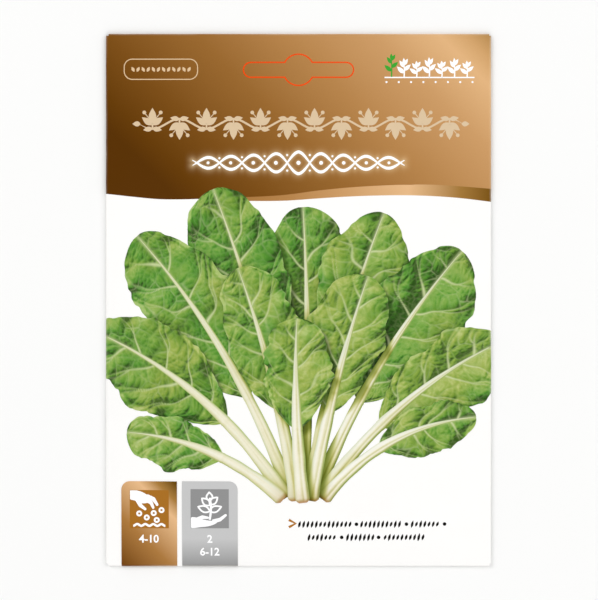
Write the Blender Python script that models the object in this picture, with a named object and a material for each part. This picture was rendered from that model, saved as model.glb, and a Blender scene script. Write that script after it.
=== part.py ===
# A folded and glued paper seed packet, filled with chard seed, lying on its back with its printed
# front up. Metres, +Z up, +X across the front to the right, +Y towards the header edge. The origin
# is on the resting plane, under the middle of the packet.
import math
import random

import bmesh
import bpy

MM = 0.001

# The closed packet
PACKET_WIDTH = 115 * MM
PACKET_HEIGHT = 159 * MM
PLY = 0.16 * MM                # thickness of the laminated paper
LAYER_GAP = 0.16 * MM          # free height between two layers of it
POCKET_RISE = 6.2 * MM         # how far the filled pocket lifts the front panel
POCKET_TOP = 133 * MM          # where the pocket ends below the header, from the bottom edge
POCKET_CREST = 0.44            # place of the thickest part, as a share of POCKET_TOP

# The blank that it is folded from
SIDE_FLAP = 12 * MM
BOTTOM_FLAP = 18 * MM
TOP_FLAP = 22 * MM
FLAP_TAPER = 7 * MM            # how far a flap's corner is cut back at its free edge
CORNER_TRIM = 0.35 * MM        # side folds and end flaps stop this short of the corners
PANEL_STOP = 1.0 * MM          # the back panel's free edge stops this short of the far crease
ROWS = 30                      # front panel's squares, along and across
COLUMNS = 22
FOLD_STEPS = 4                 # straight steps round each fold

# The euro slot, die-cut through the header, and the tab still sitting in it
SLOT_LENGTH = 32.9 * MM
SLOT_HEIGHT = 4.45 * MM
SLOT_ROUND = 9.35 * MM         # diameter of the round middle
SLOT_DROP = 10.75 * MM         # its centre line, below the top edge
DIE_KERF = 0.30 * MM

# Adhesive
GLUE = 0.08 * MM
GLUE_INSET = 2.5 * MM          # from a flap's crease and free edge to its adhesive
HEADER_BAND = 8 * MM           # height of the adhesive band that closes the pocket's top

# Seed, in corky clusters as chard and beet bear it
SEED_SIZE = 4.6 * MM           # across the largest cluster
SEED_PITCH = 0.74              # distance between neighbours, as a share of SEED_SIZE
SEED_CLEARANCE = 0.35 * MM     # free height under and over the seed
HEAP_GAP = 1.0 * MM            # between two heaps
HEAPS = 4
SEED_DRAW = 7

# Height of each layer's middle, from the resting plane up
LAYER = PLY + LAYER_GAP
FLAP_LEVEL = PLY / 2
BACK_LEVEL = FLAP_LEVEL + LAYER
SIDE_FLAP_LEVEL = BACK_LEVEL + LAYER
FRONT_LEVEL = SIDE_FLAP_LEVEL + LAYER

# Radius of each fold's middle
LEFT_RADIUS = (FRONT_LEVEL - BACK_LEVEL) / 2
RIGHT_RADIUS = (FRONT_LEVEL - SIDE_FLAP_LEVEL) / 2
END_RADIUS = (FRONT_LEVEL - FLAP_LEVEL) / 2

# The front panel between its creases
LEFT = -PACKET_WIDTH / 2 + PLY / 2 + LEFT_RADIUS
RIGHT = PACKET_WIDTH / 2 - PLY / 2 - RIGHT_RADIUS
BOTTOM = -PACKET_HEIGHT / 2 + PLY / 2 + END_RADIUS
TOP = PACKET_HEIGHT / 2 - PLY / 2 - END_RADIUS
SLOT_Y = PACKET_HEIGHT / 2 - SLOT_DROP


def clear_scene():
    for thing in list(bpy.data.objects):
        bpy.data.objects.remove(thing, do_unlink=True)


def make_material(name, colour, roughness):
    material = bpy.data.materials.new(name)
    material.use_nodes = True
    shader = material.node_tree.nodes["Principled BSDF"]
    shader.inputs["Base Color"].default_value = (*colour, 1)
    shader.inputs["Roughness"].default_value = roughness
    shader.inputs["Metallic"].default_value = 0
    material.diffuse_color = (*colour, 1)
    return material


def object_from(bm, name, material=None):
    mesh = bpy.data.meshes.new(name)
    bm.to_mesh(mesh)
    bm.free()
    thing = bpy.data.objects.new(name, mesh)
    bpy.context.scene.collection.objects.link(thing)
    if material:
        mesh.materials.append(material)
    return thing


def extruded_outline(outline, low, high):
    """A closed prism on a counter-clockwise outline."""
    bm = bmesh.new()
    face = bm.faces.new([bm.verts.new((x, y, low)) for x, y in outline])
    risen = bmesh.ops.extrude_face_region(bm, geom=[face])["geom"]
    lifted = [part for part in risen if isinstance(part, bmesh.types.BMVert)]
    bmesh.ops.translate(bm, verts=lifted, vec=(0, 0, high - low))
    bmesh.ops.recalc_face_normals(bm, faces=bm.faces)
    return bm


def pocket_rise(x, y):
    """How far the filled pocket lifts the front panel at a point."""
    side = 2 * x / (RIGHT - LEFT)
    along = (y - BOTTOM) / POCKET_TOP
    if abs(side) >= 1 or not 0 < along < 1:
        return 0.0
    across = (1 - side * side) ** 0.85
    # Below the crest a quarter of an ellipse, above it a long soft run down to the header
    if along < POCKET_CREST:
        lengthwise = (1 - (1 - along / POCKET_CREST) ** 2) ** 0.8
    else:
        run = (along - POCKET_CREST) / (1 - POCKET_CREST)
        lengthwise = (math.cos(math.pi * run) + 1) / 2
    return POCKET_RISE * across * lengthwise


def front_point(x, y):
    """Middle of the front panel, and the direction that its print faces."""
    if not (LEFT < x < RIGHT and BOTTOM < y < TOP):
        return (x, y, FRONT_LEVEL), (0, 0, 1)
    step = 0.5 * MM
    slope_x = (pocket_rise(x + step, y) - pocket_rise(x - step, y)) / (2 * step)
    slope_y = (pocket_rise(x, y + step) - pocket_rise(x, y - step)) / (2 * step)
    size = math.sqrt(1 + slope_x ** 2 + slope_y ** 2)
    middle = (x, y, FRONT_LEVEL + pocket_rise(x, y))
    return middle, (-slope_x / size, -slope_y / size, 1 / size)


def folded(beyond, radius):
    """A strip that leaves the front panel round a fold: its travel outwards, its drop below the
    front panel, and the outward and upward parts of its print's direction."""
    half_turn = math.pi * radius
    if beyond >= half_turn:
        return half_turn - beyond, 2 * radius, 0.0, -1.0
    angle = beyond / radius
    return radius * math.sin(angle), radius * (1 - math.cos(angle)), math.sin(angle), math.cos(angle)


def blank_point(s, t):
    """Where a point of the flat blank lies once it is folded. Inside the front panel, s and t are
    the packet's own x and y."""
    if s < LEFT:
        out, drop, away, up = folded(LEFT - s, LEFT_RADIUS)
        return (LEFT - out, t, FRONT_LEVEL - drop), (-away, 0, up)
    if s > RIGHT:
        out, drop, away, up = folded(s - RIGHT, RIGHT_RADIUS)
        return (RIGHT + out, t, FRONT_LEVEL - drop), (away, 0, up)
    if t < BOTTOM:
        out, drop, away, up = folded(BOTTOM - t, END_RADIUS)
        return (s, BOTTOM - out, FRONT_LEVEL - drop), (0, -away, up)
    if t > TOP:
        out, drop, away, up = folded(t - TOP, END_RADIUS)
        return (s, TOP + out, FRONT_LEVEL - drop), (0, away, up)
    return front_point(s, t)


class Blank:
    """The flat blank as squares, each corner used once, turned into one folded sheet of paper."""

    def __init__(self):
        self.bm = bmesh.new()
        self.corners = {}

    def corner(self, s, t):
        key = (round(s / MM, 4), round(t / MM, 4))
        if key not in self.corners:
            middle, facing = blank_point(s, t)
            pair = []
            for side in (1, -1):
                shift = side * PLY / 2
                pair.append(self.bm.verts.new([m + shift * f for m, f in zip(middle, facing)]))
            self.corners[key] = pair
        return self.corners[key]

    def panel(self, rows):
        """Squares between the neighbouring rows of an equal number of (s, t) points. Points run
        with s rising and rows with t rising."""
        for lower, upper in zip(rows, rows[1:]):
            for i in range(len(lower) - 1):
                loop = (lower[i], lower[i + 1], upper[i + 1], upper[i])
                pairs = [self.corner(*point) for point in loop]
                self.bm.faces.new([pair[0] for pair in pairs])
                self.bm.faces.new([pair[1] for pair in reversed(pairs)])

    def close_rim(self):
        """A narrow face all round the paper's cut edge."""
        partner = {}
        for printed, plain in self.corners.values():
            partner[printed] = plain
        for edge in [e for e in self.bm.edges if e.is_boundary]:
            if edge.verts[0] in partner:
                loop = edge.link_loops[0]
                start = loop.vert
                end = loop.link_loop_next.vert
                self.bm.faces.new((end, start, partner[start], partner[end]))


def fold_stations(radius):
    """Distances past a crease at which its fold has a row of corners."""
    return [math.pi * radius * k / FOLD_STEPS for k in range(FOLD_STEPS + 1)]


def front_stations(low, high, count):
    """Evenly spaced stations between two creases, with one more close inside each crease."""
    inner_low = low + CORNER_TRIM
    inner_high = high - CORNER_TRIM
    inner = [inner_low + (inner_high - inner_low) * k / count for k in range(count + 1)]
    return [low] + inner + [high]


def flap_rows(crease, outward, depth, across):
    """Rows of an end flap, from its crease out, its free corners cut back."""
    rows = [[(s, crease + outward * d) for s in across] for d in fold_stations(END_RADIUS)]
    turned = math.pi * END_RADIUS
    half = across[-1]
    for share in (0.5, 1.0):
        reach = turned + share * (depth - END_RADIUS)
        narrow = 1 - share * FLAP_TAPER / half
        rows.append([(s * narrow, crease + outward * reach) for s in across])
    return rows if outward > 0 else rows[::-1]


def make_envelope(paper):
    across = front_stations(LEFT, RIGHT, COLUMNS)
    along = front_stations(BOTTOM, TOP, ROWS)
    blank = Blank()
    blank.panel([[(s, t) for s in across] for t in along])

    # Both side strips run between the trimmed corners
    beside = along[1:-1]
    left_run = fold_stations(LEFT_RADIUS)
    left_run.append(math.pi * LEFT_RADIUS + PACKET_WIDTH - PANEL_STOP - LEFT_RADIUS)
    right_run = fold_stations(RIGHT_RADIUS)
    right_run.append(math.pi * RIGHT_RADIUS + SIDE_FLAP - RIGHT_RADIUS)
    blank.panel([[(LEFT - d, t) for d in reversed(left_run)] for t in beside])
    blank.panel([[(RIGHT + d, t) for d in right_run] for t in beside])

    # The end flaps hang on the front panel's ends, inside its corners
    blank.panel(flap_rows(BOTTOM, -1, BOTTOM_FLAP, across[1:-1]))
    blank.panel(flap_rows(TOP, 1, TOP_FLAP, across[1:-1]))
    blank.close_rim()

    envelope = object_from(blank.bm, "paper_envelope", paper)
    cut_slot(envelope)
    envelope.data.shade_smooth()
    envelope.data.set_sharp_from_angle(angle=math.radians(30))
    return envelope


def slot_outline(grow):
    """Outline of the slot, counter-clockwise, moved out by grow: a bar with round ends and a round
    middle."""
    half = SLOT_LENGTH / 2 + grow
    end = SLOT_HEIGHT / 2 + grow
    middle = SLOT_ROUND / 2 + grow
    meet = math.asin(end / middle)
    # Centre x, radius, first and last angle, steps
    arcs = [
        (half - end, end, -math.pi / 2, math.pi / 2, 8),
        (0, middle, meet, math.pi - meet, 12),
        (end - half, end, math.pi / 2, math.pi * 3 / 2, 8),
        (0, middle, math.pi + meet, math.pi * 2 - meet, 12),
    ]
    outline = []
    for centre, radius, first, last, steps in arcs:
        for k in range(steps + 1):
            angle = first + (last - first) * k / steps
            outline.append((centre + radius * math.cos(angle), SLOT_Y + radius * math.sin(angle)))
    return outline


def cut_slot(envelope):
    """The die goes through the front, the back panel and the top flap at once."""
    outline = slot_outline(DIE_KERF / 2)
    cutter = object_from(extruded_outline(outline, -2 * MM, 4 * MM), "slot_die")
    cutter.hide_render = True
    cutter.display_type = "WIRE"
    cut = envelope.modifiers.new("hang slot", "BOOLEAN")
    cut.operation = "DIFFERENCE"
    cut.solver = "EXACT"
    cut.object = cutter


def make_slot_tab(paper):
    outline = slot_outline(-DIE_KERF / 2)
    return object_from(extruded_outline(outline, 0, FRONT_LEVEL + PLY / 2), "hang_slot_tab", paper)


def strip(name, material, corners, low, high):
    return object_from(extruded_outline(corners, low, high), name, material)


def box_corners(left, right, bottom, top):
    return [(left, bottom), (right, bottom), (right, top), (left, top)]


def make_glue(adhesive):
    """Four thin strips of adhesive, each between two layers of the paper."""
    edge_x = PACKET_WIDTH / 2
    edge_y = PACKET_HEIGHT / 2

    seam_middle = (BACK_LEVEL + SIDE_FLAP_LEVEL) / 2
    seam = box_corners(edge_x - SIDE_FLAP + GLUE_INSET, edge_x - GLUE_INSET,
                       -edge_y + GLUE_INSET, edge_y - GLUE_INSET - SLOT_DROP)
    strip("side_seam_glue", adhesive, seam, seam_middle - GLUE / 2, seam_middle + GLUE / 2)

    flap_middle = (FLAP_LEVEL + BACK_LEVEL) / 2
    near = edge_x - CORNER_TRIM - GLUE_INSET
    far = near - FLAP_TAPER
    bottom_near = -edge_y + GLUE_INSET
    bottom_far = -edge_y + BOTTOM_FLAP - GLUE_INSET
    bottom = [(-near, bottom_near), (near, bottom_near), (far, bottom_far), (-far, bottom_far)]
    strip("bottom_flap_glue", adhesive, bottom, flap_middle - GLUE / 2, flap_middle + GLUE / 2)

    # The top flap is glued only below the slot
    top_far = edge_y - TOP_FLAP + GLUE_INSET / 2
    top_near = SLOT_Y - SLOT_ROUND / 2 - GLUE_INSET / 2
    top = box_corners(-far, far, top_far, top_near)
    strip("top_flap_glue", adhesive, top, flap_middle - GLUE / 2, flap_middle + GLUE / 2)

    # A band between the front and the back keeps the seed out of the header
    band_low = BACK_LEVEL + PLY / 2 + GLUE / 2
    band_high = FRONT_LEVEL - PLY / 2 - GLUE / 2
    band_bottom = -edge_y + POCKET_TOP + GLUE_INSET / 2
    band = box_corners(-edge_x + GLUE_INSET, edge_x - SIDE_FLAP - GLUE_INSET,
                       band_bottom, band_bottom + HEADER_BAND)
    strip("header_glue", adhesive, band, band_low, band_high)


def seed_places(draw):
    """Centres and sizes of the seed clusters: rows of neighbours, a little shaken, wherever the
    pocket is high enough to hold one."""
    floor = BACK_LEVEL + PLY / 2 + SEED_CLEARANCE
    pitch = SEED_PITCH * SEED_SIZE
    places = []
    rows = int(PACKET_HEIGHT / pitch)
    for row in range(rows):
        y = BOTTOM + row * pitch * math.sin(math.radians(60))
        for column in range(-rows, rows):
            x = (column + 0.5 * (row % 2)) * pitch
            size = SEED_SIZE * draw.uniform(0.90, 1.0)
            shift_x = draw.uniform(-0.05, 0.05) * pitch
            shift_y = draw.uniform(-0.05, 0.05) * pitch
            if abs(x) > RIGHT - SIDE_FLAP - SEED_SIZE:
                continue
            ceiling = FRONT_LEVEL - PLY / 2 - SEED_CLEARANCE
            ceiling += min(pocket_rise(x + dx * size, y + dy * size)
                           for dx in (-0.5, 0.5) for dy in (-0.5, 0.5))
            if floor + size < ceiling:
                places.append((x + shift_x, y + shift_y, floor + size / 2, size))
    return places


def seed_cluster(bm, place, draw):
    """One corky cluster: a ball of twenty faces, its corners pushed in and out."""
    x, y, z, size = place
    corners = bmesh.ops.create_icosphere(bm, subdivisions=1, radius=size / 2)["verts"]
    turn = draw.uniform(0, math.pi)
    for corner in corners:
        knob = draw.uniform(0.88, 1.0)
        px, py, pz = [knob * value for value in corner.co]
        corner.co = (x + px * math.cos(turn) - py * math.sin(turn),
                     y + px * math.sin(turn) + py * math.cos(turn),
                     z + pz)


def keep_largest_body(mesh):
    """Drop a cluster that its neighbours don't touch."""
    bm = bmesh.new()
    bm.from_mesh(mesh)
    waiting = set(bm.verts)
    bodies = []
    while waiting:
        reached = [waiting.pop()]
        body = []
        while reached:
            vert = reached.pop()
            body.append(vert)
            for edge in vert.link_edges:
                other = edge.other_vert(vert)
                if other in waiting:
                    waiting.remove(other)
                    reached.append(other)
        bodies.append(body)
    bodies.sort(key=len)
    loose = [vert for body in bodies[:-1] for vert in body]
    bmesh.ops.delete(bm, geom=loose, context="VERTS")
    bm.to_mesh(mesh)
    bm.free()


def make_heap(name, places, material, draw):
    """A heap whose clusters touch, joined into one body."""
    collection = bpy.data.collections.new(name + "_clusters")
    bpy.context.scene.collection.children.link(collection)
    first = None
    for place in places:
        bm = bmesh.new()
        seed_cluster(bm, place, draw)
        cluster = object_from(bm, name if first is None else name + "_cluster", material)
        if first is None:
            first = cluster
        else:
            bpy.context.scene.collection.objects.unlink(cluster)
            collection.objects.link(cluster)
    union = first.modifiers.new("clusters", "BOOLEAN")
    union.operation = "UNION"
    union.solver = "EXACT"
    union.operand_type = "COLLECTION"
    union.collection = collection
    evaluated = first.evaluated_get(bpy.context.evaluated_depsgraph_get())
    joined = bpy.data.meshes.new_from_object(evaluated)
    keep_largest_body(joined)
    first.modifiers.remove(union)
    first.data = joined
    for cluster in list(collection.objects):
        bpy.data.objects.remove(cluster, do_unlink=True)
    bpy.data.collections.remove(collection)
    return first


def make_seed(husk):
    draw = random.Random(SEED_DRAW)
    places = seed_places(draw)
    low = min(place[1] for place in places)
    high = max(place[1] for place in places)
    share = (high - low + SEED_SIZE) / HEAPS
    for number in range(HEAPS):
        start = low - SEED_SIZE / 2 + number * share
        mine = [p for p in places if start + HEAP_GAP < p[1] - p[3] / 2
                and p[1] + p[3] / 2 < start + share + HEAP_GAP * 0.4]
        make_heap(f"seed_heap_{number + 1}", mine, husk, draw)
    print("seed clusters", len(places))


clear_scene()
printed_paper = make_material("printed laminated paper", (0.93, 0.92, 0.89), 0.42)
header_paper = make_material("brown header print", (0.45, 0.24, 0.075), 0.35)
clear_adhesive = make_material("dried adhesive", (0.86, 0.83, 0.74), 0.5)
seed_husk = make_material("corky seed husk", (0.30, 0.19, 0.10), 0.9)
make_envelope(printed_paper)
make_slot_tab(header_paper)
make_glue(clear_adhesive)
make_seed(seed_husk)
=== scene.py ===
import math

import bmesh
import bpy
import numpy as np
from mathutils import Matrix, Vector


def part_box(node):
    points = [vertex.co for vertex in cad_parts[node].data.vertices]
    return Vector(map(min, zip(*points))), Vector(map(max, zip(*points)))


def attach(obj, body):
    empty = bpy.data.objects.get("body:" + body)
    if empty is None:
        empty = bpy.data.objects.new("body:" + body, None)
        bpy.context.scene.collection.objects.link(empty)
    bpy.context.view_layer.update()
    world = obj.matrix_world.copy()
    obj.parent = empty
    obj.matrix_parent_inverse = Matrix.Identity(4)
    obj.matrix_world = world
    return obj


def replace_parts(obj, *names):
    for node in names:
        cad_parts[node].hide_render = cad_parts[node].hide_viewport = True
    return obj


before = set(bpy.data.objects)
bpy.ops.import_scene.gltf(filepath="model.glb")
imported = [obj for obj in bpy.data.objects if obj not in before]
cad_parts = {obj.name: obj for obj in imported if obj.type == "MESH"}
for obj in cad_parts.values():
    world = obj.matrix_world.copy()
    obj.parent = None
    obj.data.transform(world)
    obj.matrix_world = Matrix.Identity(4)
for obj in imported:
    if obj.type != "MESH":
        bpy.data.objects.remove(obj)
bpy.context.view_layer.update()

mm = 0.001
print("frame loaded", sorted(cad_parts))

# The packet's edges in the photograph, in pixels of its 598 x 600 frame
photo = {"left": 106.0, "right": 491.0, "top": 34.0, "bottom": 566.0}

# How the blank is cut and folded, as in the part's own source
packet = {
    "ply": 0.16 * mm,
    "layerGap": 0.16 * mm,
    "pocketTop": 133 * mm,     # from the bottom edge up
    "crest": 0.44,             # place of the thickest part, as a share of pocketTop
    "swell": (0.8, 0.85),      # powers of the swell along the packet and across it
    "sideFlap": 12 * mm,
    "bottomFlap": 18 * mm,
    "topFlap": 22 * mm,
    "flapTaper": 7 * mm,
    "cornerTrim": 0.35 * mm,
    "panelStop": 1.0 * mm,
    "foldSteps": 8,
    "overFold": 1.4,           # how far print runs round the side folds, in their radii
    "flapShares": (0.1, 1, 8),     # rows of squares over an end flap: first, last and how many
    "panelShares": (0.05, 1, 12),  # and columns over the back panel
    "sideShares": (0.5, 1, 2),
    "grid": 1.0 * mm,          # size of the front's squares
    "leastStep": 0.02 * mm,
    "slopeStep": 0.3 * mm,
    "sharpFrom": 40,           # degrees
}

envelopeLow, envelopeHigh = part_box("paper_envelope")
width = envelopeHigh[0] - envelopeLow[0]
height = envelopeHigh[1] - envelopeLow[1]
ply = packet["ply"]
layer = ply + packet["layerGap"]
frontLevel = ply / 2 + 3 * layer
leftRadius = layer
rightRadius = layer / 2
endRadius = layer * 3 / 2
pocketRise = envelopeHigh[2] - frontLevel - ply / 2
left = -width / 2 + ply / 2 + leftRadius
right = width / 2 - ply / 2 - rightRadius
bottom = -height / 2 + ply / 2 + endRadius
top = height / 2 - ply / 2 - endRadius
printLeft = left - leftRadius * packet["overFold"]
printRight = right + rightRadius * packet["overFold"]
pxWide = width / (photo["right"] - photo["left"])
pxTall = height / (photo["bottom"] - photo["top"])
midX = (photo["left"] + photo["right"]) / 2
midY = (photo["top"] + photo["bottom"]) / 2


def atPixel(x, y):
    return (x - midX) * pxWide, (midY - y) * pxTall


def srgb(text):
    # "A96F24" as the linear colour that a shader wants
    values = [int(text[k:k + 2], 16) / 255 for k in (0, 2, 4)]
    return [v / 12.92 if v <= 0.04045 else ((v + 0.055) / 1.055) ** 2.4 for v in values] + [1.0]


def newObject(name, data):
    thing = bpy.data.objects.new(name, data)
    bpy.context.scene.collection.objects.link(thing)
    return thing


def meshOf(thing):
    # The object's shape as a plain mesh, modifiers included
    ready = thing.evaluated_get(bpy.context.evaluated_depsgraph_get())
    return bpy.data.meshes.new_from_object(ready)


# The camera comes first: straight above the packet, as the photograph looks at it
camera = {"lens": 200, "sensor": 36, "frameWide": 598, "centre": (299.0, 300.0)}


def makeCamera():
    data = bpy.data.cameras.new("camera")
    data.lens = camera["lens"]
    data.sensor_width = camera["sensor"]
    data.sensor_fit = "HORIZONTAL"
    data.clip_start = 0.01
    thing = newObject("camera", data)
    away = camera["frameWide"] * pxWide * camera["lens"] / camera["sensor"]
    thing.location = (*atPixel(*camera["centre"]), frontLevel + away)
    bpy.context.scene.camera = thing


makeCamera()

# How handling has left the front: puckers along the pocket's sides and a slow unevenness
crumple = {
    "pucker": 0.096 * mm,
    "puckerReach": 7 * mm,
    "puckerWaves": (14 * mm, 21 * mm),
    "sideShift": 2.1,          # how the left side's puckers differ from the right side's
    "sway": 0.05 * mm,
    "swayWaves": (23 * mm, 41 * mm, 31 * mm),
    "calmEdge": 6 * mm,
    "calmBottom": 12 * mm,
    "calmTop": 25 * mm,
}


def frontRise(x, y):
    # The filled pocket's swell and the crumple over it
    side = np.clip(2 * x / (right - left), -1, 1)
    along = np.clip((y - bottom) / packet["pocketTop"], 0, 1)
    crest = packet["crest"]
    powerAlong, powerAcross = packet["swell"]
    below = (1 - (1 - np.minimum(along / crest, 1)) ** 2) ** powerAlong
    above = (np.cos(np.pi * np.clip((along - crest) / (1 - crest), 0, 1)) + 1) / 2
    swell = pocketRise * (1 - side ** 2) ** powerAcross * np.where(along < crest, below, above)
    fromSide = np.minimum(right - x, x - left)
    fromEnd = np.minimum(top - y, y - bottom)
    filled = np.clip((y - bottom) / crumple["calmBottom"], 0, 1)
    filled = filled * np.clip((bottom + packet["pocketTop"] - y) / crumple["calmTop"], 0, 1)
    reach = fromSide / crumple["puckerReach"]
    first, second = crumple["puckerWaves"]
    turn = np.where(x > 0, 0.0, crumple["sideShift"])
    waves = np.sin(2 * np.pi * y / first + turn) + np.sin(2 * np.pi * y / second + 2 * turn + 1)
    a, b, c = crumple["swayWaves"]
    sway = np.sin(2 * np.pi * (x / a + y / b)) + np.sin(2 * np.pi * (x / c - y / a) + 1.3)
    edge = np.clip(np.minimum(fromSide, fromEnd) / crumple["calmEdge"], 0, 1)
    edge = edge * edge * (3 - 2 * edge)
    puckers = crumple["pucker"] * reach * np.exp(1 - reach) * filled * waves
    return swell + puckers + crumple["sway"] * sway * edge


def foldBlank(s, t, lift):
    # Points of the flat blank where they lie once folded, lift above the printed side.
    # Inside the front panel s and t are the packet's own x and y
    x = np.clip(s, left, right)
    y = np.clip(t, bottom, top)
    step = packet["slopeStep"]
    inside = (s > left) & (s < right) & (t > bottom) & (t < top)
    slopeX = (frontRise(x + step, y) - frontRise(x - step, y)) / (2 * step) * inside
    slopeY = (frontRise(x, y + step) - frontRise(x, y - step)) / (2 * step) * inside
    size = np.sqrt(1 + slopeX ** 2 + slopeY ** 2)
    spot = np.stack([x, y, frontLevel + frontRise(x, y) * inside], -1)
    facing = np.stack([-slopeX / size, -slopeY / size, 1 / size], -1)
    sides = ((left - s, leftRadius, 0, -1), (s - right, rightRadius, 0, 1),
             (bottom - t, endRadius, 1, -1), (t - top, endRadius, 1, 1))
    for beyond, radius, axis, sign in sides:
        past = beyond > 0
        angle = np.minimum(beyond[past] / radius, np.pi)
        flat = np.maximum(beyond[past] - np.pi * radius, 0)
        spot[past, axis] += sign * (radius * np.sin(angle) - flat)
        spot[past, 2] -= radius * (1 - np.cos(angle))
        facing[past] = 0
        facing[past, axis] = sign * np.sin(angle)
        facing[past, 2] = np.cos(angle)
    return spot + facing * (lift + ply / 2)[..., None]


# How far each printed layer stands over the paper and sinks into it, in millimetres
lifts = {"header": 0.012, "ribbon": 0.016, "glow": 0.016, "ornament": 0.022, "leaf": 0.028,
         "leafStep": 0.006, "tab": 0.108, "square": 0.114, "sign": 0.120, "sunk": 0.004}


def closeSkin(name, points, faces, ink, lift=0.0, depth=None, tissue=None, pick=None, finish=None):
    # A thin closed solid: faces on the printed side, a copy of them depth below, and a rim.
    # points are (s, t, raise), lift is in millimetres, and tissue holds four values for each point
    points = np.asarray(points, dtype=float)
    count = len(points)
    depth = depth or (lift + lifts["sunk"]) * mm
    raised = points[:, 2] + lift * mm
    spots = [foldBlank(points[:, 0], points[:, 1], level) for level in (raised, raised - depth)]
    used = set()
    for face in faces:
        used.update(zip(face, face[1:] + face[:1]))
    rims = sorted((b, a, a + count, b + count) for a, b in used if (b, a) not in used)
    under = [tuple(k + count for k in reversed(face)) for face in faces]
    mesh = bpy.data.meshes.new(name)
    mesh.from_pydata(np.concatenate(spots).tolist(), [], list(faces) + under + rims)
    if tissue is not None:
        values = np.concatenate([tissue, tissue]).astype(np.float32)
        mesh.attributes.new("tissue", "FLOAT_COLOR", "POINT").data.foreach_set("color", values.ravel())
    if pick:
        picked = [pick(face) for face in faces]
        mesh.polygons.foreach_set("material_index", picked + picked + [0] * len(rims))
    for each in [ink] if isinstance(ink, str) else ink:
        mesh.materials.append(inks[each])
    mesh.shade_smooth()
    mesh.set_sharp_from_angle(angle=math.radians(packet["sharpFrom"]))
    thing = newObject(name, mesh)
    if finish:
        finish(thing)
    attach(thing, "root")
    return thing


# Nodes. A wire is a node's output, so that sums of wires and numbers read as sums
class nodeWire:
    def __init__(self, tree, socket):
        self.tree = tree
        self.socket = socket

    def __add__(self, other):
        return mathWire("ADD", self, other)

    def __sub__(self, other):
        return mathWire("SUBTRACT", self, other)

    def __rsub__(self, other):
        return mathWire("SUBTRACT", other, self)

    def __mul__(self, other):
        return mathWire("MULTIPLY", self, other)

    def __truediv__(self, other):
        return mathWire("DIVIDE", self, other)

    def __abs__(self):
        return mathWire("ABSOLUTE", self)

    def clamped(self):
        self.socket.node.use_clamp = True
        return self


def connect(tree, socket, value):
    if isinstance(value, nodeWire):
        tree.links.new(value.socket, socket)
    else:
        socket.default_value = value


def wireFrom(tree, kind, given, output=0, **settings):
    # One output of a new node, whose inputs get the values or wires that are given
    node = tree.nodes.new(kind)
    for name, value in settings.items():
        setattr(node, name, value)
    for name, value in given.items():
        connect(tree, node.inputs[name], value)
    return nodeWire(tree, node.outputs[output])


def mathWire(operation, *values):
    tree = next(value.tree for value in values if isinstance(value, nodeWire))
    return wireFrom(tree, "ShaderNodeMath", dict(enumerate(values)), operation=operation)


def mixColour(tree, factor, first, second, blend="MIX"):
    return wireFrom(tree, "ShaderNodeMix", {0: factor, 6: first, 7: second}, 2,
                    data_type="RGBA", blend_type=blend)


def rampWire(value, places, colours):
    node = value.tree.nodes.new("ShaderNodeValToRGB")
    elements = node.color_ramp.elements
    while len(elements) < len(places):
        elements.new(0.5)
    for element, place in zip(elements, places):
        element.position = place
    for element, colour in zip(elements, colours):
        element.color = srgb(colour)
    connect(value.tree, node.inputs[0], value)
    return nodeWire(value.tree, node.outputs[0])


def objectPlace(tree):
    node = tree.nodes.get("Texture Coordinate") or tree.nodes.new("ShaderNodeTexCoord")
    return nodeWire(tree, node.outputs["Object"])


def partsOf(wire, kind="ShaderNodeSeparateXYZ"):
    node = wire.tree.nodes.new(kind)
    connect(wire.tree, node.inputs[0], wire)
    return [nodeWire(wire.tree, socket) for socket in node.outputs]


def noiseWire(tree, size, detail, **more):
    given = {"Vector": objectPlace(tree), "Scale": 1 / size, "Detail": detail}
    return wireFrom(tree, "ShaderNodeTexNoise", {**given, **more})


def newTree(kind, name, inputs, outputs):
    # A node group with its sockets, the wires from its inputs, and the sockets of its results
    tree = bpy.data.node_groups.new(name, kind)
    for label, sort, value in inputs:
        socket = tree.interface.new_socket(name=label, in_out="INPUT", socket_type=sort)
        if value is not None:
            socket.default_value = value
    for label, sort in outputs:
        tree.interface.new_socket(name=label, in_out="OUTPUT", socket_type=sort)
    given = {socket.name: nodeWire(tree, socket) for socket in tree.nodes.new("NodeGroupInput").outputs}
    return tree, given, tree.nodes.new("NodeGroupOutput").inputs


def newMaterial(name, makeFinish, strength, distance):
    # makeFinish gives the colour, the roughness and the relief
    material = bpy.data.materials.new(name)
    material.use_nodes = True
    tree = material.node_tree
    colour, roughness, relief = makeFinish(tree)
    bump = {"Height": relief, "Strength": strength, "Distance": distance}
    shader = tree.nodes["Principled BSDF"].inputs
    connect(tree, shader["Base Color"], colour)
    connect(tree, shader["Roughness"], roughness)
    connect(tree, shader["Normal"], wireFrom(tree, "ShaderNodeBump", bump, "Normal"))
    return material


# What all printed paper here shares
paper = {
    "inkUneven": 0.035,
    "fibreSize": 0.45 * mm,
    "grainSize": 0.16 * mm,
    "patchSize": 50 * mm / 3,
    "patchGain": (2.6, 0.9),    # how patchy the wear is
    "wearWidth": 0.55 * mm,
    "wearFibre": 0.35,
    "wornColour": "E9E2D4",
    "roughness": (0.44, 0.18, 0.35),   # of sound print, its swing, and what wear adds
    "seedSize": 4.4 * mm,
    "seedSoft": 0.6,
    "seedArea": (34 * mm, 30 * mm),
    "seedCentre": (0.0, -21 * mm),
    "grainHeight": 0.12,
    "bump": (0.35, 0.06 * mm),
    "shine": 0.06,
}


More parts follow.
